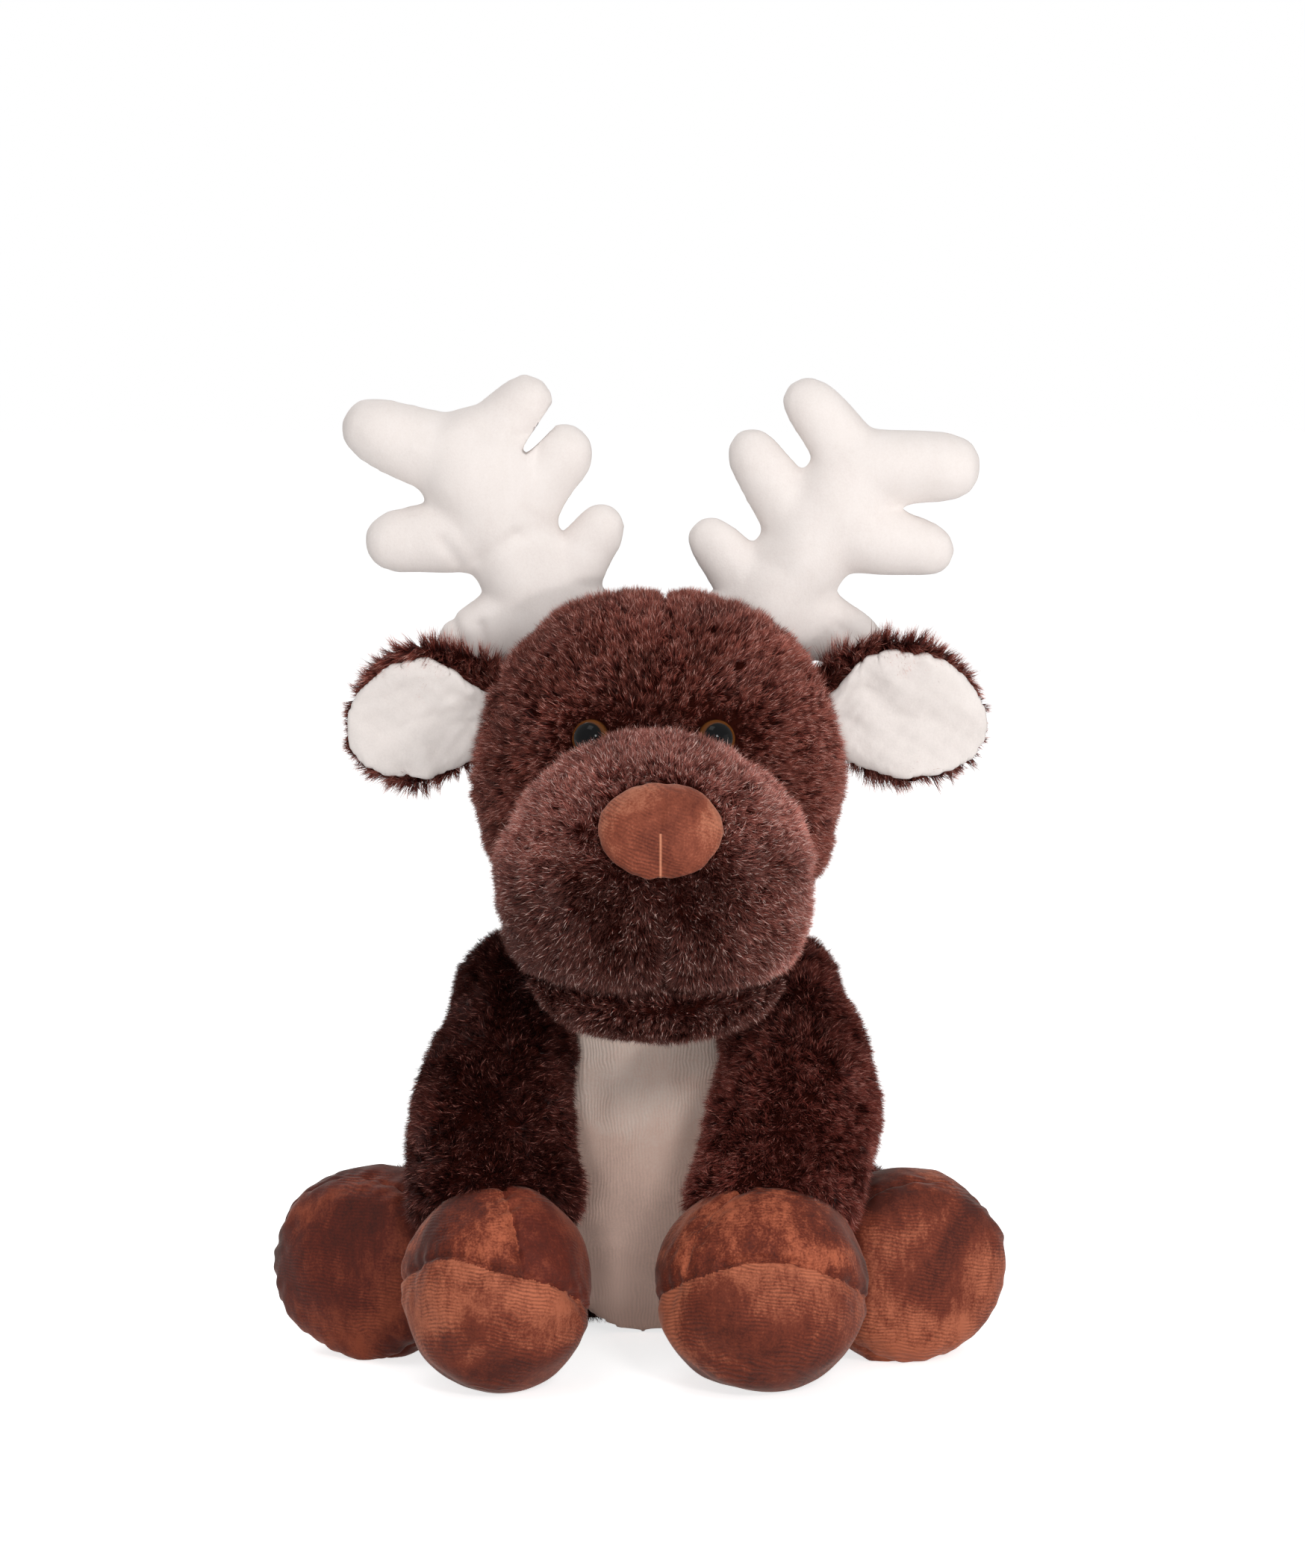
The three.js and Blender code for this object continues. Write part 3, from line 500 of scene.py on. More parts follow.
def nap_material(name, dark, middle, light, *, rows=(0, 0, 1), row_depth=0.0, patch=55, sheen=0.15,
                 sheen_tint=(1, 0.8, 0.7), grain=0.25, contrast=1.0, offset=(0, 0, 0), painted_light_gradient=None,
                 line=None):
    """Short nap: patches brushed one way or the other, lighter and darker as painted sheen, fine
    grain, and knit rows along a direction. The gradient of painted light and shade gives how much the
    tone rises per 100 mm along x, y and z, and where it is unchanged, in millimetres; line is the
    place of an upright seam in light thread, the height that it starts below and its colour."""
    mat, tree, shader = start_material(name, 0.75, 0.25)
    place = object_place(tree)
    moved = add_node(tree, "Mapping", {"Vector": place, "Location": offset}).outputs[0]
    drawn_out = add_node(tree, "Mapping", {"Vector": place, "Scale": (1, 1, 0.35)}).outputs[0]
    sheen_patches = noise(tree, moved, patch, 3, 0.5, 0.8)
    fine = noise(tree, place, NAP_GRAIN, 2, 0.6)
    streak = noise(tree, drawn_out, NAP_STREAKS, 3, 0.6, 0.3)
    value = mix_values(tree, grain, mix_values(tree, 0.25, sheen_patches, streak), fine)
    # Painted light and shade: the tone rises along a direction
    if painted_light_gradient:
        direction, centre = Vector(painted_light_gradient[0]) * 10, mm(*painted_light_gradient[1])
        rise = calculate_vector(tree, "DOT_PRODUCT", place, direction, output="Value")
        value = calculate(tree, "ADD", value, calculate(tree, "SUBTRACT", rise, direction.dot(centre)))
    spread = NAP_SPREAD / contrast
    color = ramp(tree, value, [(0.5 - spread, dark), (0.5, middle), (0.5 + spread, light)])
    height = mix_values(tree, 0.6, fine, streak)
    if row_depth:
        # Wavering knit rows, broken into stitches and worn away in places. They darken the colour as
        # well
        # as the bump: painted shade in the grooves between rows.
        waver = noise(tree, place, 90, 2, output="Color")
        bent = calculate_vector(tree, "MULTIPLY_ADD", waver, (ROW_WOBBLE,) * 3, place)
        pace = Vector(rows).normalized() * (2 * math.pi / ROW_PITCH)
        wave = calculate(
            tree, "SINE", calculate_vector(tree, "DOT_PRODUCT", bent, pace, output="Value"),
        )
        stitches = noise(tree, place, 700, 1)
        unworn = map_range(tree, noise(tree, place, 70, 2), 0.38, 0.6)
        row = calculate(tree, "MULTIPLY", wave, calculate(tree, "MULTIPLY", stitches, unworn))
        shade = map_range(tree, row, -0.6, 0.35, 1 - row_depth, 1)
        color = mix_colors(tree, 1, color, shade, "MULTIPLY")
        height = calculate(tree, "MULTIPLY_ADD", row, 0.8, height)
    if line:
        across, top, thread = line
        part = add_node(tree, "SeparateXYZ", {0: place}).outputs
        far = calculate(tree, "ABSOLUTE", calculate(tree, "SUBTRACT", part["X"], across * MM))
        near = map_range(tree, far, THREAD_EDGE[1], THREAD_EDGE[0])
        below = calculate(tree, "LESS_THAN", part["Z"], top * MM)
        color = mix_colors(tree, calculate(tree, "MULTIPLY", near, below), color, (*thread, 1))
    bump = add_node(tree, "Bump", {"Strength": 0.35, "Distance": BUMP_DEPTH, "Height": height})
    feed(tree, shader, {
        "Base Color": color, "Normal": bump.outputs[0], "Sheen Weight": sheen,
        "Sheen Roughness": 0.35, "Sheen Tint": (*sheen_tint, 1),
    })
    return mat


def eye_material():
    """Black pupil and an amber ring under a clear glossy dome."""
    mat, tree, shader = start_material("eye_dome", 0.03, 0.1)
    place = object_place(tree)
    flat = calculate_vector(tree, "MULTIPLY", place, (1, 1, 0))
    reach = calculate_vector(tree, "LENGTH", flat, output="Value")
    share = calculate(tree, "MULTIPLY", reach, 1 / (EYE_RADIUS * MM))
    uneven = calculate(tree, "MULTIPLY_ADD", noise(tree, place, 1200, 2), 0.03, share)
    color = ramp(tree, uneven, [
        (0.0, (0.003, 0.003, 0.004)), (0.75, PUPIL),
        (0.79, (0.1, 0.03, 0.006)), (0.93, (0.16, 0.055, 0.014)), (1.0, (0.05, 0.016, 0.006)),
    ])
    feed(tree, shader, {"Base Color": color})
    return mat


# Root, body and tip colours of each pile, then the colour of its painted glint, a painted highlight.
# The torso and legs have a darker copy of the fur: painted shade.
FUR = pile_material(
    "fur_pile", srgb(12, 3, 2), srgb(82, 33, 27), srgb(176, 104, 90), srgb(226, 170, 158),
)
SHADED_BODY_FUR = pile_material(
    "shaded_body_pile", srgb(8, 2, 2), srgb(64, 24, 20), srgb(140, 72, 62), srgb(196, 136, 124),
)
MUZZLE_FUR = pile_material(
    "muzzle_pile", srgb(8, 2, 2), srgb(94, 43, 37), srgb(198, 128, 115), srgb(244, 208, 198), 0.36,
)
BACKING = backing_material("fur_backing", srgb(40, 13, 9))
RUST = dict(patch=30, grain=0.2)
RUST_TONES = (srgb(72, 22, 9), srgb(117, 50, 31), srgb(182, 103, 74))
UPPER_TONES = (srgb(60, 15, 5), srgb(102, 39, 21), srgb(170, 90, 62))
# A darker copy of the upper tones, for pieces on the toy's right: painted shade
SHADED_TONES = (srgb(46, 10, 3), srgb(90, 30, 16), srgb(146, 70, 46))
# Their tone gradients are painted light and shade, lighter towards the top
UPPER_NAPS = {
    part: nap_material(
        f"hoof_velboa_{part}", *tones, **RUST, rows=(0, 0.3, 1), row_depth=0.08, contrast=contrast,
        offset=offset, painted_light_gradient=((0, 0, 0.3), (0, 0, 45)),
    )
    for part, tones, contrast, offset in (
        ("outer", UPPER_TONES, 1.8, (0, 0, 0)), ("inner_left", UPPER_TONES, 1.8, (0.3, 0.1, 0.2)),
        ("inner_right", SHADED_TONES, 1.1, (0.1, 0.3, 0.2)),
    )
}
# Lighter towards the top: painted light
SOLE_NAP = nap_material(
    "sole_velboa", *RUST_TONES, **RUST, rows=(0.12, 0.35, 1), row_depth=0.5, contrast=1.35,
    painted_light_gradient=((0, 0, 0.35), (0, 0, 15)),
)
# The left hind hoof is lighter towards the toy's left and downwards, painted light; the right one has
# the darker tones, painted shade
HIND_NAPS = {
    "left": nap_material(
        "hind_velboa_left", *RUST_TONES, **RUST, rows=(0.1, 0.2, 1), row_depth=0.45, contrast=1.4,
        painted_light_gradient=((0.15, 0, -0.2), (78, 0, 32)),
    ),
    "right": nap_material(
        "hind_velboa_right_shaded", *SHADED_TONES, **RUST, rows=(0.1, 0.2, 1), row_depth=0.45, contrast=1.2,
    ),
}
# Lighter towards the top: painted light
NOSE_NAP = nap_material(
    "nose_velboa", srgb(104, 46, 30), srgb(142, 72, 51), srgb(192, 120, 92), rows=(0.35, 0, 1),
    row_depth=0.4, patch=50, contrast=1.3, painted_light_gradient=((0, 0, 0.15), (0, 0, 172)),
    line=(NOSE[0], NOSE[2], srgb(196, 128, 98)),
)
CREAM = dict(sheen=0.05, sheen_tint=(1, 0.98, 0.95), grain=0.35, contrast=0.6)
CREAM_NAP = nap_material(
    "cream_velboa", srgb(224, 214, 210), srgb(233, 225, 221), srgb(239, 232, 229), **CREAM,
)
LINING_NAP = nap_material(
    "lining_velboa", srgb(218, 210, 206), srgb(229, 221, 217), srgb(237, 230, 226), **CREAM,
)
# Lighter towards the top and darker towards the floor: painted light and shade
BELLY_NAP = nap_material(
    "belly_velboa", srgb(224, 192, 178), srgb(246, 212, 196), srgb(254, 232, 219),
    rows=(1, 0, 0.02), row_depth=0.12, painted_light_gradient=((0, 0, 0.75), (0, 0, 60)), **CREAM,
)
FILLING = backing_material("fibre_filling", (0.8, 0.8, 0.78))
EYE = eye_material()
WASHER = speckled_material(
    "washer_plastic", WASHER_GRAIN, (0.78, 0.78, 0.76), (0.86, 0.86, 0.84), 0.4, 0.5,
)


def finish_piece(obj, body, material, replaced=()):
    obj.data.materials.clear()
    obj.data.materials.append(material)
    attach(obj, body)
    if replaced:
        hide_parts(*replaced)
    return obj


# Pile
TONES = 64
BRIGHTEST = 0.9
# Tone and extra width of the strands that carry a painted glint, a painted highlight
PAINTED_GLINT = 0.97
PAINTED_GLINT_WIDTH = 1.25
MIDDLE_TONE = 0.42
UNEVEN_LEAN = 0.22
FLOW_WAVER = 0.45
ROOT_DEPTH = 0.3
FLOOR_CLEAR = 0.0003
# Where a triangle starts, ends and has its tip in its tone's column of the map, as shares of it
COLUMN = (0.2, 0.8, 0.5)


def strands(name, roots, tips, across, tones, widths):
    """A mesh of one flat tapered triangle for each root, whose place on the map tells its tone."""
    n = len(roots)
    half = across * widths[:, None]
    verts = np.stack([roots - half, roots + half, tips], 1)
    left, right, middle = ((np.floor(tones * (TONES - 0.001)) + share) / TONES for share in COLUMN)
    low, high = np.full(n, 0.02), np.full(n, 0.98)
    uv = np.stack([left, low, right, low, middle, high], 1)
    mesh = bpy.data.meshes.new(name)
    mesh.vertices.add(3 * n)
    mesh.vertices.foreach_set("co", verts.astype(np.float32).ravel())
    mesh.loops.add(3 * n)
    mesh.loops.foreach_set("vertex_index", np.arange(3 * n, dtype=np.int32))
    mesh.polygons.add(n)
    mesh.polygons.foreach_set("loop_start", np.arange(0, 3 * n, 3, dtype=np.int32))
    mesh.update(calc_edges=True)
    layer = mesh.uv_layers.new(name=TONE_MAP)
    layer.data.foreach_set("uv", uv.astype(np.float32).ravel())
    mesh.validate()
    return add(name, mesh)


def scatter(mesh, count, rng):
    """Random places on a mesh, even by area, with their smooth normals."""
    mesh.calc_loop_triangles()
    tri = np.empty(len(mesh.loop_triangles) * 3, int)
    mesh.loop_triangles.foreach_get("vertices", tri)
    tri = tri.reshape(-1, 3)
    co, no = points_of(mesh), normals_of(mesh)
    a, b, c = co[tri[:, 0]], co[tri[:, 1]], co[tri[:, 2]]
    area = np.linalg.norm(np.cross(b - a, c - a), axis=1) / 2
    pick = np.searchsorted(np.cumsum(area) / area.sum(), np.sort(rng.random(count)))
    pick = np.minimum(pick, len(tri) - 1)
    r1, r2 = np.sqrt(rng.random(count)), rng.random(count)
    w = np.stack([1 - r1, r1 * (1 - r2), r1 * r2], 1)[:, :, None]
    place = (np.stack([a, b, c], 1)[pick] * w).sum(1)
    normal = (no[tri][pick] * w).sum(1)
    return place, normal / np.linalg.norm(normal, axis=1, keepdims=True)


def surface_area(mesh):
    return sum(p.area for p in mesh.polygons) / MM ** 2


def unit(v):
    return v / np.maximum(np.linalg.norm(v, axis=1, keepdims=True), 1e-9)


def grow_pile(name, skin, body, groom, seed, *, density=8.0, length=4.6, lean=0.6, per_clump=14,
              clump=1.3, wild=0.45, splay=0.18, width=0.13, avoid=(), shape=None, shade=None,
              seam=None, material=FUR):
    """Clumps of strands over a skin. Groom gives the lie of the pile at each point. Shape gives each
    clump's length as a share and its lean, and drops it where the length is 0; shade adds painted
    light and shade to its tone.
    Avoid lists forms that a clump may lie no deeper in than a number of millimetres. Seam is where a
    cover's left and right halves meet, in millimetres, and makes a piece of each."""
    rng = np.random.default_rng(seed)
    clumps = int(surface_area(skin.data) * density / per_clump)
    place, normal = scatter(skin.data, clumps, rng)
    size = np.full(clumps, 1.0)
    tilt = np.clip(lean + UNEVEN_LEAN * waves(place, 20, seed + 3), 0.15, 0.93)
    if shape is not None:
        size, tilt = shape(place, tilt)
    keep = size > 0
    for tree, margin in avoid:
        keep[keep] &= depth_in(place[keep], tree) < margin * MM
    place, normal, size, tilt = place[keep], normal[keep], size[keep], tilt[keep]
    clumps = len(place)
    flow = groom(place) + wave_vector(place, 16, seed + 5) * FLOW_WAVER
    flow = flow + rng.normal(size=(clumps, 3)) * wild
    flow = unit(flow - normal * (flow * normal).sum(1, keepdims=True))
    tilt = np.clip(tilt + rng.normal(size=clumps) * 0.12, 0.05, 0.96)
    aim = unit(flow * tilt[:, None] + normal * np.sqrt(1 - tilt ** 2)[:, None])
    tall = length * MM * size * rng.uniform(0.65, 1.2, clumps)
    tone = MIDDLE_TONE + 0.07 * waves(place, 9, seed + 9) + rng.normal(size=clumps) * 0.13
    # Painted light and shade added to each clump's tone
    if shade is not None:
        tone += shade(place)
    tone = np.clip(tone, 0, BRIGHTEST)

    def many(v):
        return np.repeat(v, per_clump, axis=0)

    n = clumps * per_clump
    place, normal, flow, aim, tall, tone = map(many, (place, normal, flow, aim, tall, tone))
    side = np.cross(normal, flow)
    r = clump * MM * np.sqrt(rng.random(n))
    angle = rng.random(n) * 2 * np.pi
    spot = flow * (r * np.cos(angle))[:, None] + side * (r * np.sin(angle))[:, None]
    roots = place + spot - normal * (ROOT_DEPTH * MM)
    tall = tall * rng.uniform(0.7, 1.1, n)
    tip_aim = unit(aim + rng.normal(size=(n, 3)) * splay)
    tips = place + spot * rng.uniform(0.1, 0.6, n)[:, None] + tip_aim * tall[:, None]
    for p in (roots, tips):
        p[:, 2] = np.maximum(p[:, 2], FLOOR_CLEAR)
    across = unit(np.cross(tip_aim, rng.normal(size=(n, 3))))
    # A few strands, more often the lighter ones, carry a painted glint: a painted highlight
    glow = rng.random(n)
    painted_glints = glow > 0.945 - 0.13 * tone
    tones = np.where(painted_glints, PAINTED_GLINT, np.clip(tone + rng.normal(size=n) * 0.18, 0, BRIGHTEST))
    widths = width * MM * rng.uniform(0.7, 1.3, n) * np.where(painted_glints, PAINTED_GLINT_WIDTH, 1)
    halves = {name: np.full(n, True)}
    if seam is not None:
        halves = {f"{name}_left": place[:, 0] > seam * MM, f"{name}_right": place[:, 0] <= seam * MM}
    for part, own in halves.items():
        obj = strands(part, roots[own], tips[own], across[own], tones[own], widths[own])
        finish_piece(obj, body, material)


def towards(direction):
    v = np.array(direction, float)
    return lambda p: np.tile(v / np.linalg.norm(v), (len(p), 1))


def away_from(point, drop=0.0):
    c = np.array(point) * MM

    def flow(p):
        v = unit(p - c)
        v[:, 2] -= drop
        return v
    return flow


# Forms


def front_on(centre, half, power, right, up):
    """The point on the front of a squarish ellipsoid that lies to the right of and above its centre,
    and the normal there."""
    used = abs(right / half[0]) ** power + abs(up / half[2]) ** power
    forward = half[1] * (1 - used) ** (1 / power)

    def slope(v, size):
        return math.copysign(abs(v / size) ** (power - 1), v) / size
    place = mm(centre[0] + right, centre[1] - forward, centre[2] + up)
    normal = Vector((slope(right, half[0]), slope(-forward, half[1]), slope(up, half[2])))
    return place, normal.normalized()


def gaussian(distance, width):
    return np.exp(-(distance / width) ** 2)


# Skins of the furred forms
torso = soft_form("torso", ["torso_cover", "belly_panel", "torso_stuffing"], 3, 8, -0.6)
head = soft_form("head", ["head_cover", "head_stuffing"], 2.6, 6, 0)
muzzle = soft_form("muzzle", ["muzzle"], 2.2, 4, 0)
chin = soft_form("chin", ["chin"], 2, 4, 0)
tail = soft_form("tail", ["tail"], 2, 4, -0.6)
legs = {}
for side_name in SIDES:
    for end in ("front", "hind"):
        leg_name = f"{end}_leg_{side_name}"
        legs[end, side_name] = soft_form(leg_name, [leg_name], 2.5, 6, -0.8)

# Seams that draw the face in: across the top of the head, under the nose, and the mouth
muzzle_tree, chin_tree = tree_of(muzzle), tree_of(chin)


def past_edge(value, start, end):
    """0 before a band, 1 past it."""
    return np.clip((value - start) / (end - start), 0, 1)


def head_seam(co):
    x, y, z = co.T / MM
    return 2.2 * gaussian(x - FACE_SEAM, 2.2) * past_edge(z, 212, 224) * (y < 20)


def muzzle_seams(co):
    x, y, z = co.T / MM
    upright = gaussian(x - FACE_SEAM, 2.6) * (y < -85) * past_edge(z, 158, 126)
    mouth = gaussian(depth_in(co, chin_tree), 0.0035)
    return 5.2 * upright + 3.2 * mouth


def chin_seam(co):
    return 2.0 * gaussian(depth_in(co, muzzle_tree), 0.003)


# The muzzle narrows towards its top, and the lip is as wide as the muzzle and curls up at its ends
co = points_of(muzzle.data)
co[:, 0] -= (co[:, 0] - MUZZLE[0] * MM) * 0.09 * past_edge(co[:, 2] / MM, 158, 184)
set_points(muzzle.data, co)
co = points_of(chin.data)
off = (co[:, 0] / MM - MUZZLE[0]) / LIP_HALF
high = past_edge(co[:, 2] / MM, 100, 116)
co[:, 0] += off * 5.5 * MM * high
co[:, 2] += 5 * MM * off ** 2 * high
set_points(chin.data, co)
no = normals_of(chin.data)
shift(chin, 2.2 * past_edge(no[:, 2], -0.6, 0.1))
chin_tree = tree_of(chin)

for form, seams in ((head, head_seam), (muzzle, muzzle_seams), (chin, chin_seam)):
    shift(form, -seams(points_of(form.data)))
shift(muzzle, 0.7 * waves(points_of(muzzle.data), 26, 21))
co = points_of(head.data)
fuller = 1.2 * past_edge(co[:, 0] / MM, -25, -45) + 1.0 * past_edge(co[:, 2] / MM, 212, 226)
shift(head, 0.6 * waves(co, 34, 22) + 0.7 + fuller)
for (end, side_name), leg in legs.items():
    # The pile stands out as a cuff above each front hoof
    co = points_of(leg.data)
    cuff = 0
    if end == "front":
        outer = np.clip(SIDES[side_name] * normals_of(leg.data)[:, 0], 0, 1)
        z = co[:, 2] / MM
        cuff = 3.0 * gaussian(z - 52, 13) + 2.0 * outer * past_edge(z, 98, 80)
        if side_name == "right":
            cuff = cuff - 2.5 * outer * past_edge(z, 94, 106)
    shift(leg, 0.7 * waves(co, 26, 23) + cuff)


# Hooves
FRONT_HOOF_OUT = {"left": 37.5, "right": 44}
FRONT_HOOF_MIDDLE = (-115, 29.5)
FRONT_SEAM_TURN = {"left": 50, "right": 18}
FRONT_SOLE_TILT = 26
HIND_HOOF_OUT = {"left": 76, "right": 78}
HIND_HOOF_MIDDLE = (-55, 29.7)
HIND_HOOF_FORWARD = {"left": 5, "right": 0}
HIND_HOOF_TURN = 22
HIND_RIM = 26 * 0.85
HOOF_BREADTH = {"left": 1.06, "right": 0.94}
HOOF_INWARD = {"left": 1.5, "right": 0}
NO_SEAM = 99


def hoof_nodes(end, side_name):
    parts = ("hoof_outer", "hoof_inner", "sole") if end == "front" else ("hoof", "sole")
    return [f"{end}_{part}_{side_name}" for part in parts]


hooves = {}
for side_name in SIDES:
    for end, smooth in (("front", 9), ("hind", 3)):
        hooves[end, side_name] = soft_form(
            f"{end}_hoof_{side_name}", hoof_nodes(end, side_name), 2.2, smooth, 0.9,
        )


def front_hoof_seams(side_name, co):
    """Millimetres above the sole's seam, and to the outer side of the upright seam."""
    s = SIDES[side_name]
    p = co / MM - np.array([s * FRONT_HOOF_OUT[side_name], *FRONT_HOOF_MIDDLE])
    tilt = math.radians(FRONT_SOLE_TILT)
    sole_up = np.array([0, math.sin(tilt), math.cos(tilt)])
    turn = math.radians(FRONT_SEAM_TURN[side_name])
    outward = np.array([s * math.cos(turn), -math.sin(turn), 0])
    x = p[:, 0]
    rise = 4.5 * gaussian(x, 20) - 2 if s > 0 else 3.5 * gaussian(x + 14, 12) - 0.13 * (x + 8)
    return p @ sole_up + 1 - rise, p @ outward


def hind_hoof_seam(side_name, co):
    s = SIDES[side_name]
    turn = math.radians(HIND_HOOF_TURN)
    aim = np.array([s * math.sin(turn), -math.cos(turn), 0])
    rim = np.array([s * HIND_HOOF_OUT[side_name], *HIND_HOOF_MIDDLE]) + aim * HIND_RIM
    return (co / MM - rim) @ aim


def hoof_seams(end, side_name, co):
    """Millimetres from the sole's seam, and from the upright seam, which ends at the sole."""
    if end == "hind":
        return hind_hoof_seam(side_name, co), np.full(len(co), NO_SEAM)
    from_sole, from_upright = front_hoof_seams(side_name, co)
    return from_sole, np.where(from_sole > 0, np.abs(from_upright), NO_SEAM)


def puckers(distance, co, seed, depth, reach):
    """Small folds that run off a seam."""
    return depth * waves(co, 6, seed) * np.exp(-np.abs(distance) / reach)


for (end, side_name), hoof in hooves.items():
    front = end == "front"
    from_sole, upright = hoof_seams(end, side_name, points_of(hoof.data))
    inflate(hoof, np.maximum(gaussian(from_sole, 1.8), gaussian(upright, 1.8)), 1.8)
    subdivide(hoof, 2)
    co = points_of(hoof.data)
    from_sole, upright = hoof_seams(end, side_name, co)
    near = np.minimum(np.abs(from_sole), upright)
    folds = puckers(near, co, 31, 0.5, 5) + 0.5 * waves(co, 24, 33)
    grow = 0.4 if front else 1.1
    shift(hoof, grow + folds - 0.9 * gaussian(near, 0.9) - 0.7 * gaussian(near, 4.5))
    co = points_of(hoof.data)
    if front:
        # One is broader than the other, and both stand a little higher than their filling
        middle = SIDES[side_name] * FRONT_HOOF_OUT[side_name] * MM
        co[:, 0] = middle + (co[:, 0] - middle) * HOOF_BREADTH[side_name]
        co[:, 0] -= HOOF_INWARD[side_name] * MM
        co[:, 2] += np.maximum(co[:, 2] - 0.03, 0) * 0.1
    else:
        co[:, 2] *= 0.95
        co[:, 1] -= HIND_HOOF_FORWARD[side_name] * MM
    set_points(hoof.data, co)
    keep_above_floor(hoof)
    nap = UPPER_NAPS["outer"] if front else HIND_NAPS[side_name]
    finish_piece(hoof, f"{end}_leg_{side_name}", nap, hoof_nodes(end, side_name))
    if front:
        hoof.data.materials.append(SOLE_NAP)
        hoof.data.materials.append(UPPER_NAPS[f"inner_{side_name}"])
        from_sole, from_upright = front_hoof_seams(side_name, points_of(hoof.data))
        mark = np.where(from_sole < 0, 1, np.where(from_upright < 0, 2, 0))
        index = np.array([mark[p.vertices[0]] for p in hoof.data.polygons], np.int32)
        hoof.data.polygons.foreach_set("material_index", index)


# Antlers, with soft creases pressed across them: ends (x, z) of each crease, its depth and its width
CREASES = {
    "right": [
        ((-52, 243), (-40, 251), 1.0, 2.4), ((-40, 251), (-31, 253), 0.5, 2.6),
        ((-64, 249), (-59, 242), 0.8, 2.2), ((-52, 222), (-50, 214), 1.2, 2.0),
        ((-61, 224), (-58, 216), 1.0, 1.8),
    ],
    "left": [((62, 222), (70, 216), 0.8, 2.0), ((30, 246), (44, 240), 0.4, 3.0)],
}


def antler_creases(co, side_name):
    flat = co[:, [0, 2]] / MM
    deep = np.zeros(len(flat))
    for start, end, depth, width in CREASES[side_name]:
        a, b = np.array(start, float), np.array(end, float)
        share = np.clip(((flat - a) @ (b - a)) / ((b - a) @ (b - a)), 0, 1)
        far = np.linalg.norm(flat - a - share[:, None] * (b - a), axis=1)
        deep += depth * gaussian(far, width) * (co[:, 1] < 0.004)
    return deep


def open_notch(obj, start, end, narrow, wide):
    """Opens a notch between two tines: what fills it goes down to its end. Places are (x, z)."""
    co = points_of(obj.data)
    a, b = np.array(start, float), np.array(end, float)
    length = np.linalg.norm(b - a)
    aim = (b - a) / length
    flat = co[:, [0, 2]] / MM - a
    along = flat @ aim
    across = flat @ np.array([-aim[1], aim[0]])
    half = narrow + (wide - narrow) * np.clip(along / length, 0, 1.3)
    share = np.clip(1 - (np.abs(across) / half) ** 4, 0, 1) * (along > 0)
    co[:, [0, 2]] -= (along * share)[:, None] * aim * MM
    set_points(obj.data, co)


antlers = {}
for side_name in SIDES:
    antler = soft_form(f"antler_{side_name}", [f"antler_{side_name}"], 1.7, 12, 0.7)
    edge = gaussian(points_of(antler.data)[:, 1] / MM, 1.5) * 0.8
    inflate(antler, edge, 1.8)
    subdivide(antler)
    co = points_of(antler.data)
    edge = gaussian(co[:, 1] / MM, 0.8) * 0.4
    shift(antler, 0.4 * waves(co, 24, 61) + 0.7 - edge - antler_creases(co, side_name))
    if side_name == "right":
        open_notch(antler, (-38, 277), (-29, 288), 1.3, 2.6)
    antlers[side_name] = finish_piece(
        antler, f"antler_{side_name}", CREAM_NAP, [f"antler_{side_name}"],
    )


# Ears
ears = {}
for side_name in SIDES:
    back = soft_form(f"ear_{side_name}", [f"ear_back_{side_name}"], 1.8, 4, -0.4)
    lining = soft_form(f"ear_lining_{side_name}", [f"ear_lining_{side_name}"], 1.2, 3, 0)
    subdivide(lining)
    co, no = points_of(lining.data), normals_of(lining.data)
    # Fuller towards the front and at the rim, so that the back's skin stays behind it
    front = np.clip(-no[:, 1], 0, 1)
    rim = np.sqrt(np.clip(1 - no[:, 1] ** 2, 0, 1))
    swell = 0.9 * front + 1.6 * rim + 0.4 * waves(co, 16, 71) + 0.15 * waves(co, 6, 72)
    co = co + no * swell[:, None] * MM - np.array([0, 0.0014, 0])
    # The fur folds over its upper edge, most of all by the head, and it reaches the outer rim
    s = SIDES[side_name]
    out = s * co[:, 0] / MM - EAR_ROOT
    top = co[:, 2].max()
    share = [0, 0.1, 0.25, 0.45, 0.8, 1]
    rises = [-17, -15, -10, 0, 2, 1] if s > 0 else [-11, -9, -4, 1, 1.5, 0]
    raised = np.interp(out / EAR_REACH, share, rises)
    co[:, 2] += raised * MM * past_edge(co[:, 2], top - 0.024, top)
    co[:, 0] += s * 2.6 * MM * past_edge(out, 24, EAR_REACH)
    set_points(lining.data, co)
    co = points_of(back.data)
    out = s * co[:, 0] / MM - EAR_ROOT
    facing = -normals_of(back.data)[:, 1]
    rim = np.sqrt(np.clip(1 - facing ** 2, 0, 1))
    outer = past_edge(out, 26, 40) + past_edge(co[:, 2] / MM, 190, 180)
    shift(back, -0.7 * rim * np.clip(outer, 0, 1) - 1.3 * np.clip(facing, 0, 1))
    co = points_of(back.data)
    high = past_edge(co[:, 2] / MM, 195, 222)
    co[:, 2] += (4.5 * past_edge(out, 8, 28) - 1.5) * MM * high
    set_points(back.data, co)
    finish_piece(lining, f"ear_{side_name}", LINING_NAP, [f"ear_lining_{side_name}"])
    finish_piece(back, f"ear_{side_name}", BACKING, [f"ear_back_{side_name}"])
    ears[side_name] = (back, lining)


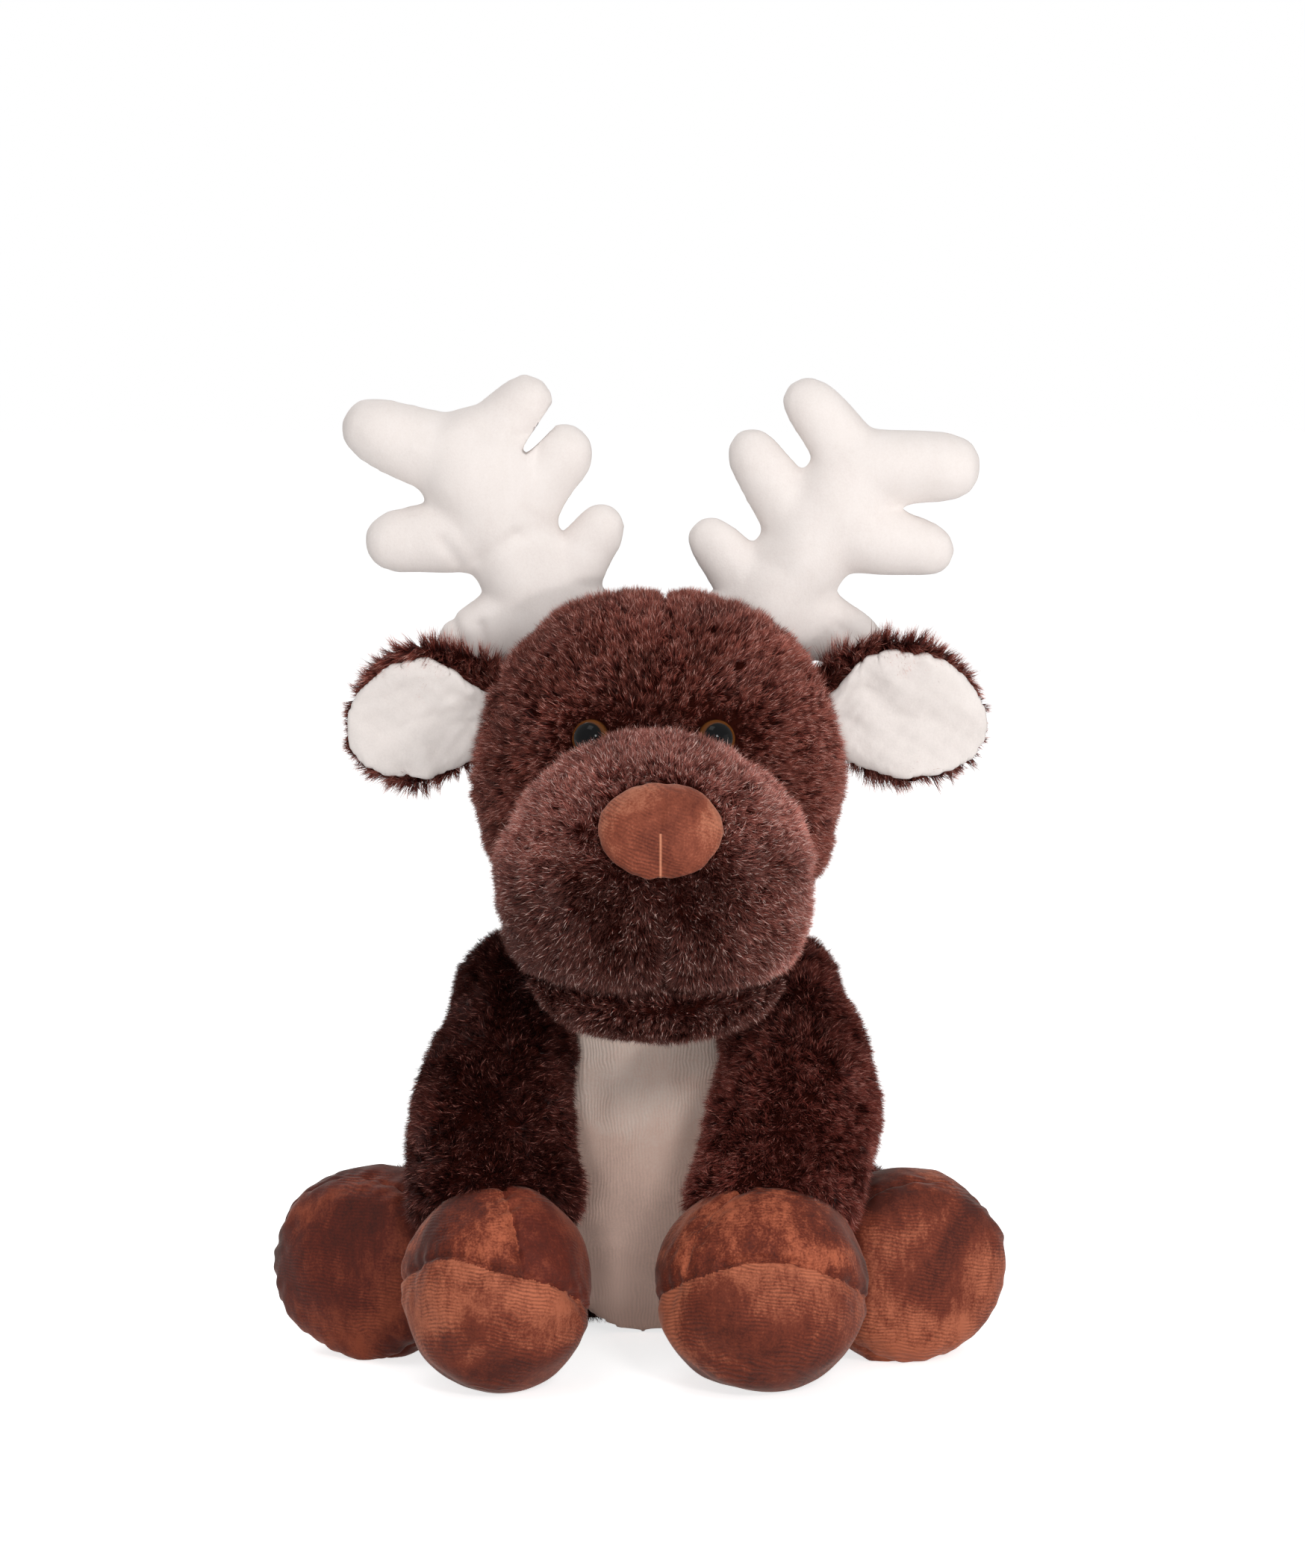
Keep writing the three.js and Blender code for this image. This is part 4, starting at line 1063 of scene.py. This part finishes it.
# Nose: two halves drawn together by the seam between them, which ends in puckers
nose = soft_form("nose", ["nose_left", "nose_right"], 1.0, 6, 0.7)
inflate(nose, None, 1.2)
subdivide(nose)
co = points_of(nose.data)
across = co[:, 0] / MM - NOSE[0]
below = past_edge(co[:, 2] / MM, 172, 166)
seam = gaussian(across, 0.7) * below
soft = gaussian(across, 2.6) * past_edge(co[:, 2] / MM, 184, 164)
shift(nose, 0.25 * seam - 0.8 * soft + puckers(across, co, 41, 0.3, 5) + 0.25 * waves(co, 12, 43))
co = points_of(nose.data)
low = past_edge(co[:, 2] / MM, 174, 154)
co[:, 0] -= (co[:, 0] - NOSE[0] * MM) * 0.1 * low
co[:, 2] -= (0.6 + 1.2 * low) * MM
set_points(nose.data, co)
finish_piece(nose, "head", NOSE_NAP, ["nose_left", "nose_right"])


# Belly panel, with the torso's skin drawn in behind it
belly = soft_form("belly", ["belly_panel"], 1.6, 5, 0.4)
co = points_of(belly.data)
shift(belly, 0.3 * waves(co, 34, 51) + 0.15 * waves(co, 14, 52))
co = points_of(belly.data)
co[:, 2] = np.maximum(co[:, 2] - 3.2 * MM * past_edge(co[:, 2] / MM, 20, 4), 0)
set_points(belly.data, co)
belly_tree = tree_of(belly)


def draw_behind_belly(obj, clear=0.0):
    """Moves a form in behind the panel, and back from the panel's lower edge."""
    near = depth_in(points_of(obj.data), belly_tree, 0.008) / MM
    shift(obj, -(3.2 + clear) * np.clip((near + 4.5) / 3, 0, 1))
    co = points_of(obj.data)
    low_front = past_edge(co[:, 2] / MM, 16, 7) * past_edge(co[:, 1] / MM, -8, -24)
    co[:, 1] += (7 + clear) * MM * low_front
    set_points(obj.data, co)


draw_behind_belly(torso)
finish_piece(belly, "torso", BELLY_NAP, ["belly_panel"])


# Eyes
DOME_RINGS = 14
DOME_TURNS = 48
eye_places = {}


def eye_dome():
    """Points and faces of half an ellipsoid, closed by a cone that points back into the head."""
    verts, faces = [], []
    for i in range(DOME_RINGS + 1):
        rise = math.pi / 2 * i / DOME_RINGS
        r = EYE_RADIUS * MM * math.cos(rise)
        for j in range(DOME_TURNS):
            t = 2 * math.pi * j / DOME_TURNS
            verts.append((r * math.cos(t), r * math.sin(t), EYE_HEIGHT * MM * math.sin(rise)))
    after = [(j + 1) % DOME_TURNS for j in range(DOME_TURNS)]
    for low in range(0, DOME_RINGS * DOME_TURNS, DOME_TURNS):
        high = low + DOME_TURNS
        faces += [(low + j, low + k, high + k, high + j) for j, k in enumerate(after)]
    faces += [(len(verts), k, j) for j, k in enumerate(after)]
    return [*verts, (0, 0, -EYE_SHANK * MM)], faces


for side_name, s in SIDES.items():
    right, up = EYE_MIDDLE[0] + s * EYE_SPACING / 2, EYE_MIDDLE[1]
    place, normal = front_on(HEAD, HEAD_HALF, HEAD_POWER, right, up)
    eye_places[side_name] = place
    mesh = new_mesh(f"eye_dome_{side_name}", *eye_dome())
    mesh.shade_smooth()
    eye = add(f"eye_dome_{side_name}", mesh)
    turn = normal.to_track_quat("Z", "Y").to_matrix().to_4x4()
    eye.matrix_world = Matrix.Translation(place) @ turn
    finish_piece(eye, "head", EYE, [f"eye_{side_name}"])
    washer = NODES[f"eye_washer_{side_name}"].data
    washer.materials.clear()
    washer.materials.append(WASHER)


# Furred skins and fillings
finish_piece(torso, "torso", BACKING, ["torso_cover"])
finish_piece(head, "head", BACKING, ["head_cover"])
finish_piece(muzzle, "head", BACKING, ["muzzle"])
finish_piece(chin, "head", BACKING, ["chin"])
finish_piece(tail, "tail", BACKING, ["tail"])
for (end, side_name), leg in legs.items():
    keep_above_floor(leg)
    finish_piece(leg, f"{end}_leg_{side_name}", BACKING, [f"{end}_leg_{side_name}"])
for part in ("torso", "head"):
    filling = soft_form(f"{part}_filling", [f"{part}_stuffing"], 4, 6, -1.5)
    if part == "torso":
        draw_behind_belly(filling, 2.0)
    shift(filling, 0.6 * waves(points_of(filling.data), 12, 81))
    finish_piece(filling, part, FILLING, [f"{part}_stuffing"])


# Pile on the forms
TREES = {
    "torso": tree_of(torso), "head": tree_of(head), "muzzle": tree_of(muzzle), "chin": tree_of(chin),
    "belly": tree_of(belly),
}
for side_name in SIDES:
    for end in ("front", "hind"):
        TREES[end, side_name] = tree_of(legs[end, side_name])
        TREES[end + "_hoof", side_name] = tree_of(hooves[end, side_name])
    TREES["antler", side_name] = tree_of(antlers[side_name])
    TREES["ear", side_name] = tree_of(ears[side_name][0])
    TREES["lining", side_name] = tree_of(ears[side_name][1])


def near_eyes(place, size):
    for centre in eye_places.values():
        d = np.linalg.norm(place - np.array(centre), axis=1) / MM
        size = np.where(d < 6.6, 0, size * np.clip((d - 4.5) / 12, 0.15, 1))
    return size


def mouth_line(place, form):
    """1 where the muzzle and the chin meet, and less away from it."""
    return gaussian(depth_in(place, TREES[form], 0.012) / MM, 4)


def head_shape(place, tilt):
    seam = gaussian(place[:, 0] / MM - FACE_SEAM, 1.6) * (place[:, 2] > 0.21)
    return near_eyes(place, 1 - 0.6 * seam), tilt


def muzzle_shape(place, tilt):
    d = place / MM - np.array(NOSE)
    flat = np.sqrt((d[:, 0] / NOSE_HALF[0]) ** 2 + (d[:, 2] / NOSE_HALF[1]) ** 2)
    front = place[:, 1] < -0.09
    size = np.where(front & (flat < 0.9), 0, 1.0)
    size = np.where(front, size * np.clip(flat - 0.3, 0.5, 1), size)
    # Brushed flat above and beside the nose, open and upright below it
    open_share = past_edge(-d[:, 2], 2, 22) * gaussian(d[:, 0], 34)
    tilt = np.clip(tilt + 0.3 - 0.45 * open_share, 0.2, 0.94)
    line = gaussian(place[:, 0] / MM - FACE_SEAM, 2.2) * (place[:, 2] < 0.152) * front
    mouth = mouth_line(place, "chin")
    return near_eyes(place, size * (1 - 0.65 * line) * (1 - 0.6 * mouth)), tilt


def chin_shape(place, tilt):
    return 1 - 0.6 * mouth_line(place, "muzzle"), tilt


def skip_low(place, tilt):
    return np.where(place[:, 2] < 0.003, 0, 1.0), tilt


# Painted light and shade on the muzzle's pile: painted shade below the nose, in the philtrum and in
# the mouth's crease, a painted highlight along the muzzle's rim, random patches of painted sheen,
# darker 12 to 26 mm above the nose, and low down painted light on the toy's left and painted shade on
# its right
def muzzle_shade(place):
    d = place / MM - np.array(NOSE)
    open_share = past_edge(-d[:, 2], 0, 16) * gaussian(d[:, 0], 36)
    line = gaussian(place[:, 0] / MM - FACE_SEAM, 2.6) * (place[:, 2] < 0.148)
    around = place / MM - np.array(MUZZLE)
    rim = gaussian(np.hypot(around[:, 0] / 47.5, around[:, 2] / 44) - 0.95, 0.05)
    sheen_patches = 0.1 * waves(place, 30, 207) - 0.12 * past_edge(d[:, 2], 12, 26)
    low = past_edge(-d[:, 2], 10, 26)
    painted_side_light = low * (0.14 * past_edge(d[:, 0], 8, 26) - 0.5 * past_edge(-d[:, 0], 2, 18))
    dark = 0.62 * open_share + 0.65 * line + 0.3 * mouth_line(place, "chin")
    return 0.12 + sheen_patches + painted_side_light + 0.16 * rim - dark


# Painted shade under the muzzle, darkest in the mouth's crease
def chin_shade(place):
    return -0.42 - 0.3 * mouth_line(place, "muzzle")


def head_shade(place):
    d = place / MM - np.array(HEAD)
    brow = gaussian(d[:, 0] + 2, 24) * gaussian(d[:, 2] - 26, 20)
    # Brushed up into a lighter streak above the brow: painted sheen
    sheen_streak = gaussian(d[:, 0] - 4 + 0.5 * (d[:, 2] - 40), 7) * gaussian(d[:, 2] - 40, 12) * (d[:, 1] < 0)
    # Painted light on the toy's left side, painted shade on its right
    side = 0.16 * past_edge(d[:, 0], 20, 42) - 0.08 * past_edge(-d[:, 0], 20, 42)
    return 0.06 + side - 0.14 * brow + 0.25 * sheen_streak + 0.1 * waves(place, 30, 208)


# Painted light on the toy's left leg, painted shade on its right, and painted shade at the top, under
# the head
def leg_shade(place):
    side = np.where(place[:, 0] > 0, 0.3, -0.34)
    return side - 0.3 * past_edge(place[:, 2] / MM, 84, 104) + 0.1 * waves(place, 26, 209)


grow_pile(
    "torso_fur", torso, "torso", towards((0, 0, -1)), 101, length=4.8, shape=skip_low,
    material=SHADED_BODY_FUR, seam=0,
    avoid=[(tree, 0.0) for key, tree in TREES.items() if isinstance(key, tuple)]
    + [(TREES["belly"], -2.0)],
)
grow_pile(
    "head_fur", head, "head", away_from((5, -80, 185), 0.2), 102, shape=head_shape, shade=head_shade,
    seam=FACE_SEAM,
    avoid=[(TREES["muzzle"], 0.0), (TREES["chin"], 0.0)]
    + [(TREES[k, s], 0.3) for k in ("antler", "ear") for s in SIDES],
)
grow_pile(
    "muzzle_fur", muzzle, "head", away_from((NOSE[0], -150, 176)), 103, length=4.4,
    shape=muzzle_shape, shade=muzzle_shade, avoid=[(TREES["head"], 0.0), (TREES["chin"], 0.5)],
    material=MUZZLE_FUR, density=10, per_clump=8, clump=0.9, wild=0.4, width=0.12,
    splay=0.24,
)
grow_pile(
    "chin_fur", chin, "head", away_from((5, -60, 118)), 104, length=3.6,
    avoid=[(TREES["muzzle"], 0.5)], material=MUZZLE_FUR, shape=chin_shape, shade=chin_shade,
)
grow_pile("tail_fur", tail, "tail", towards((0, 0.75, 0.65)), 105, avoid=[(TREES["torso"], 0.0)])
for i, (side_name, s) in enumerate(SIDES.items()):
    grow_pile(
        f"front_leg_fur_{side_name}", legs["front", side_name], f"front_leg_{side_name}",
        towards((0, -0.55, -0.8)), 110 + i, shade=leg_shade, material=SHADED_BODY_FUR,
        avoid=[(TREES["torso"], 0.0), (TREES["front_hoof", side_name], -0.2)],
    )
    grow_pile(
        f"hind_leg_fur_{side_name}", legs["hind", side_name], f"hind_leg_{side_name}",
        towards((0.45 * s, -0.8, -0.1)), 120 + i, length=3.6, shape=skip_low, material=SHADED_BODY_FUR,
        avoid=[(TREES["torso"], 0.0), (TREES["hind_hoof", side_name], -0.2)],
    )
    hinge = np.array([HEAD[0] + s * EAR_ROOT, *EAR_HINGE]) * MM

    def ear_shape(place, tilt, s=s, hinge=hinge):
        # Longest along the upper and lower rims, short at the outer rim
        out = past_edge(s * (place[:, 0] - hinge[0]) / MM, 36, 50)
        high = (place[:, 2] - hinge[2]) / MM
        rims = past_edge(high, -8, 6) + past_edge(high, -10, -18)
        return 0.85 + 0.3 * rims - 0.35 * out, tilt

    # Its pile is lighter throughout: painted light
    grow_pile(
        f"ear_fur_{side_name}", ears[side_name][0], f"ear_{side_name}",
        lambda p, h=hinge: unit(p - h), 130 + i, length=6.4, lean=0.65, width=0.14, splay=0.13,
        shape=ear_shape, shade=lambda p: np.full(len(p), 0.16),
        avoid=[(TREES["head"], 0.0), (TREES["lining", side_name], 0.1)],
    )
